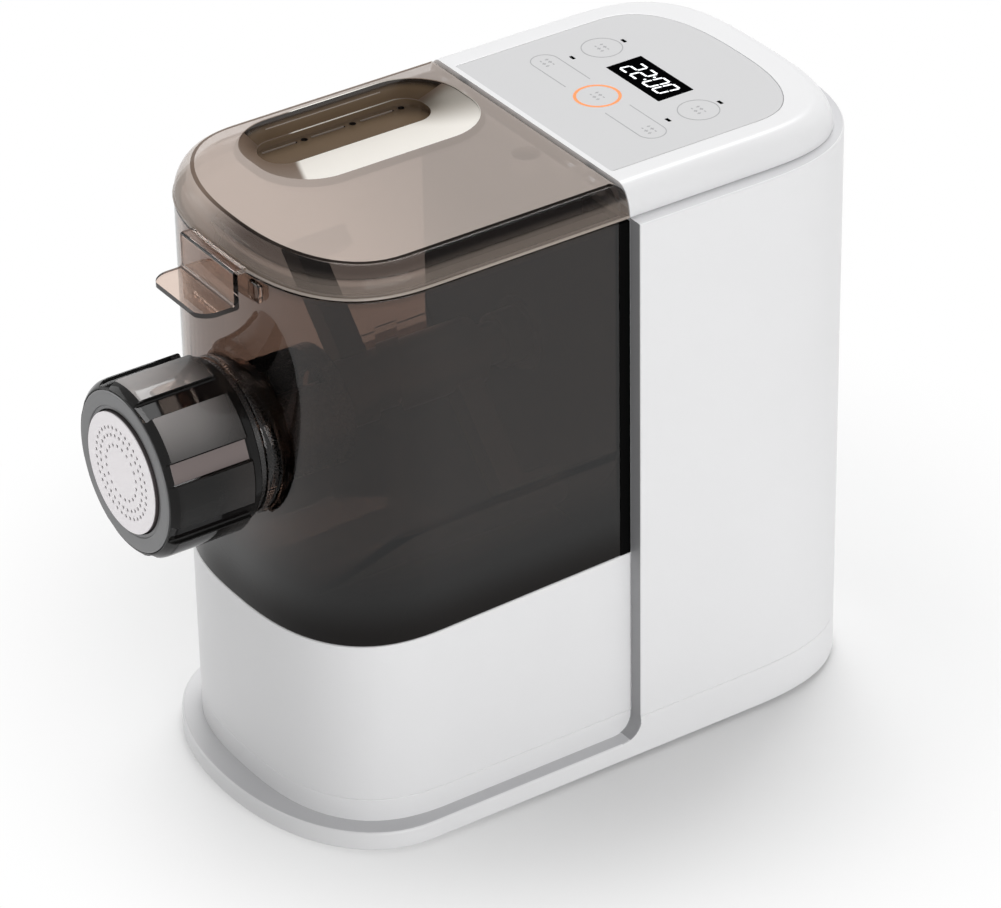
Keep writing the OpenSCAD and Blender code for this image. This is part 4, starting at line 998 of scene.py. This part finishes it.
coat(lid, (smoky_top, smoky_lip, smoky_side, bead_painted_highlight, recess, recess_slope_painted_light, edge_on, smoky_tab,
           crease), lid_finish)
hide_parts("lid")
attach(lid, "lid")
# Ground stainless pins in the ears, and a magnet potted in smoky resin for the reed switch
ground_steel = surface("ground_stainless_steel", "#C6C7CA", "#B4B6B9", 4, 0.25, 0.002,
                       (0.22, 0.34), Metallic=1.0)
dress(ground_steel, "hinge_pins")
dress(surface("smoky_resin_potted_magnet", "#7C726B", "#756B64", 4, 0.3, 0.002, (0.4, 0.5)),
      "lid_magnet")

# ---- Motor ----
# An induction motor under the pedestal: a stack of punched laminations between two
# zinc end bells, on a folded steel bracket that stands on rubber dampers.
def striped(name, pale, deep, pitch, way, rough, **sockets):
    """A metal surface() with fine parallel lines across it, one line in about pitch mm."""
    made = surface(name, pale, deep, 12, 0.5, 0.004, rough, **sockets)
    tree, shader, place = opened(made)
    lines = add(tree, "TexWave", {"Vector": place, "Scale": 1 / (pitch * mm) / pi,
                                  "Distortion": 0.0}, bands_direction=way)
    relief = add(tree, "Bump", {
        "Height": lines.outputs["Fac"], "Strength": 0.6, "Distance": 0.05 * mm})
    tree.links.new(relief.outputs[0], shader.inputs["Normal"])
    return made


dress(striped("stacked_electrical_steel", "#7E8187", "#6F7278", 1.0, "Y", (0.4, 0.55),
              Metallic=0.9),
      "stator_core", "rotor_core")
dress(striped("enamelled_copper_winding", "#B4683A", "#9C552C", 1.2, "X", (0.25, 0.4),
              Metallic=0.8),
      "stator_windings")
dress(surface("cast_zinc", "#9EA0A4", "#8E9094", 6, 1.2, 0.03, (0.42, 0.58), Metallic=0.85),
      "front_end_bell", "rear_end_bell")
dress(surface("galvanised_sheet_steel", "#AEB1B6", "#9BA0A6", 7, 2.0, 0.01, (0.35, 0.5),
              Metallic=0.9),
      "motor_bracket")
dress(ground_steel, "rotor_shaft", "gear_pins", "output_shaft", "motor_pinion")
dress(surface("sintered_bronze", "#B08A52", "#9C7944", 3, 0.4, 0.02, (0.4, 0.55), Metallic=0.95),
      "motor_bushes", "output_bushes")
dress(surface("moulded_grey_nylon", "#46484C", "#3E4044", 10, 0.6, 0.006, (0.35, 0.45)),
      "cooling_fan")

# ---- Gearbox ----
# A cast case and its cover, screwed to the back of the bulkhead, with three pairs of
# moulded acetal gears on steel pins.
dress(surface("die_cast_case", "#5C5F64", "#505358", 8, 1.0, 0.02, (0.45, 0.6), Metallic=0.6),
      "gearbox_case", "gearbox_cover")
dress(surface("natural_acetal", "#D8D3C3", "#CFC9B8", 10, 0.5, 0.005, (0.3, 0.42), IOR=1.48),
      "first_gear", "second_gear", "output_gear")

# ---- Control and power electronics ----
# Green glass-epoxy boards with their parts, touch springs under the keys, and a finned
# aluminium heat sink. They hang from posts in the tower and the top cover.
dress(surface("green_solder_mask", "#245C3B", "#2C6A46", 5, 0.8, 0.01, (0.25, 0.38), IOR=1.5),
      "control_board", "power_board")
dress(surface("moulded_component_epoxy", "#2B2E33", "#232529", 4, 0.5, 0.006, (0.4, 0.55)),
      "board_components", "display_module")
dress(striped("spring_steel_wire", "#C4C5C8", "#B2B4B8", 1.2, "Z", (0.25, 0.35), Metallic=1.0),
      "touch_springs")
dress(surface("red_potted_switch", "#7C2C2C", "#6E2626", 4, 0.5, 0.005, (0.3, 0.4)),
      "reed_switch")
dress(striped("extruded_aluminium", "#B7B9BD", "#A9ABB0", 0.8, "X", (0.3, 0.42), Metallic=1.0),
      "heat_sink")

# ---- Mains inlet and wires ----
# A panel socket of black nylon with three brass pins, wired to the power board, and
# two leads from there to the motor.
dress(surface("moulded_inlet_nylon", "#1E1E21", "#26262A", 8, 0.7, 0.008, (0.35, 0.5)),
      "mains_inlet")
dress(surface("nickelled_brass", "#C9B27A", "#BAA269", 3, 0.3, 0.002, (0.22, 0.32), Metallic=1.0),
      "inlet_pins")
dress(surface("brown_PVC_insulation", "#4A2F20", "#40281B", 5, 0.6, 0.005, (0.38, 0.5)),
      "mains_leads")
dress(surface("blue_PVC_insulation", "#22385C", "#1C3050", 5, 0.6, 0.005, (0.38, 0.5)),
      "motor_leads")

# ---- Screws ----
# Zinc-plated pan head screws hold the shells together from below and inside, and
# the boards, the gearbox and the motor in their places.
dress(surface("bright_zinc_plate", "#BEC0C4", "#AEB1B8", 3, 0.4, 0.004, (0.25, 0.38),
              Metallic=1.0),
      "motor_bolts", "gearbox_screws", "housing_screws", "cover_screws", "board_screws",
      "bracket_screws")
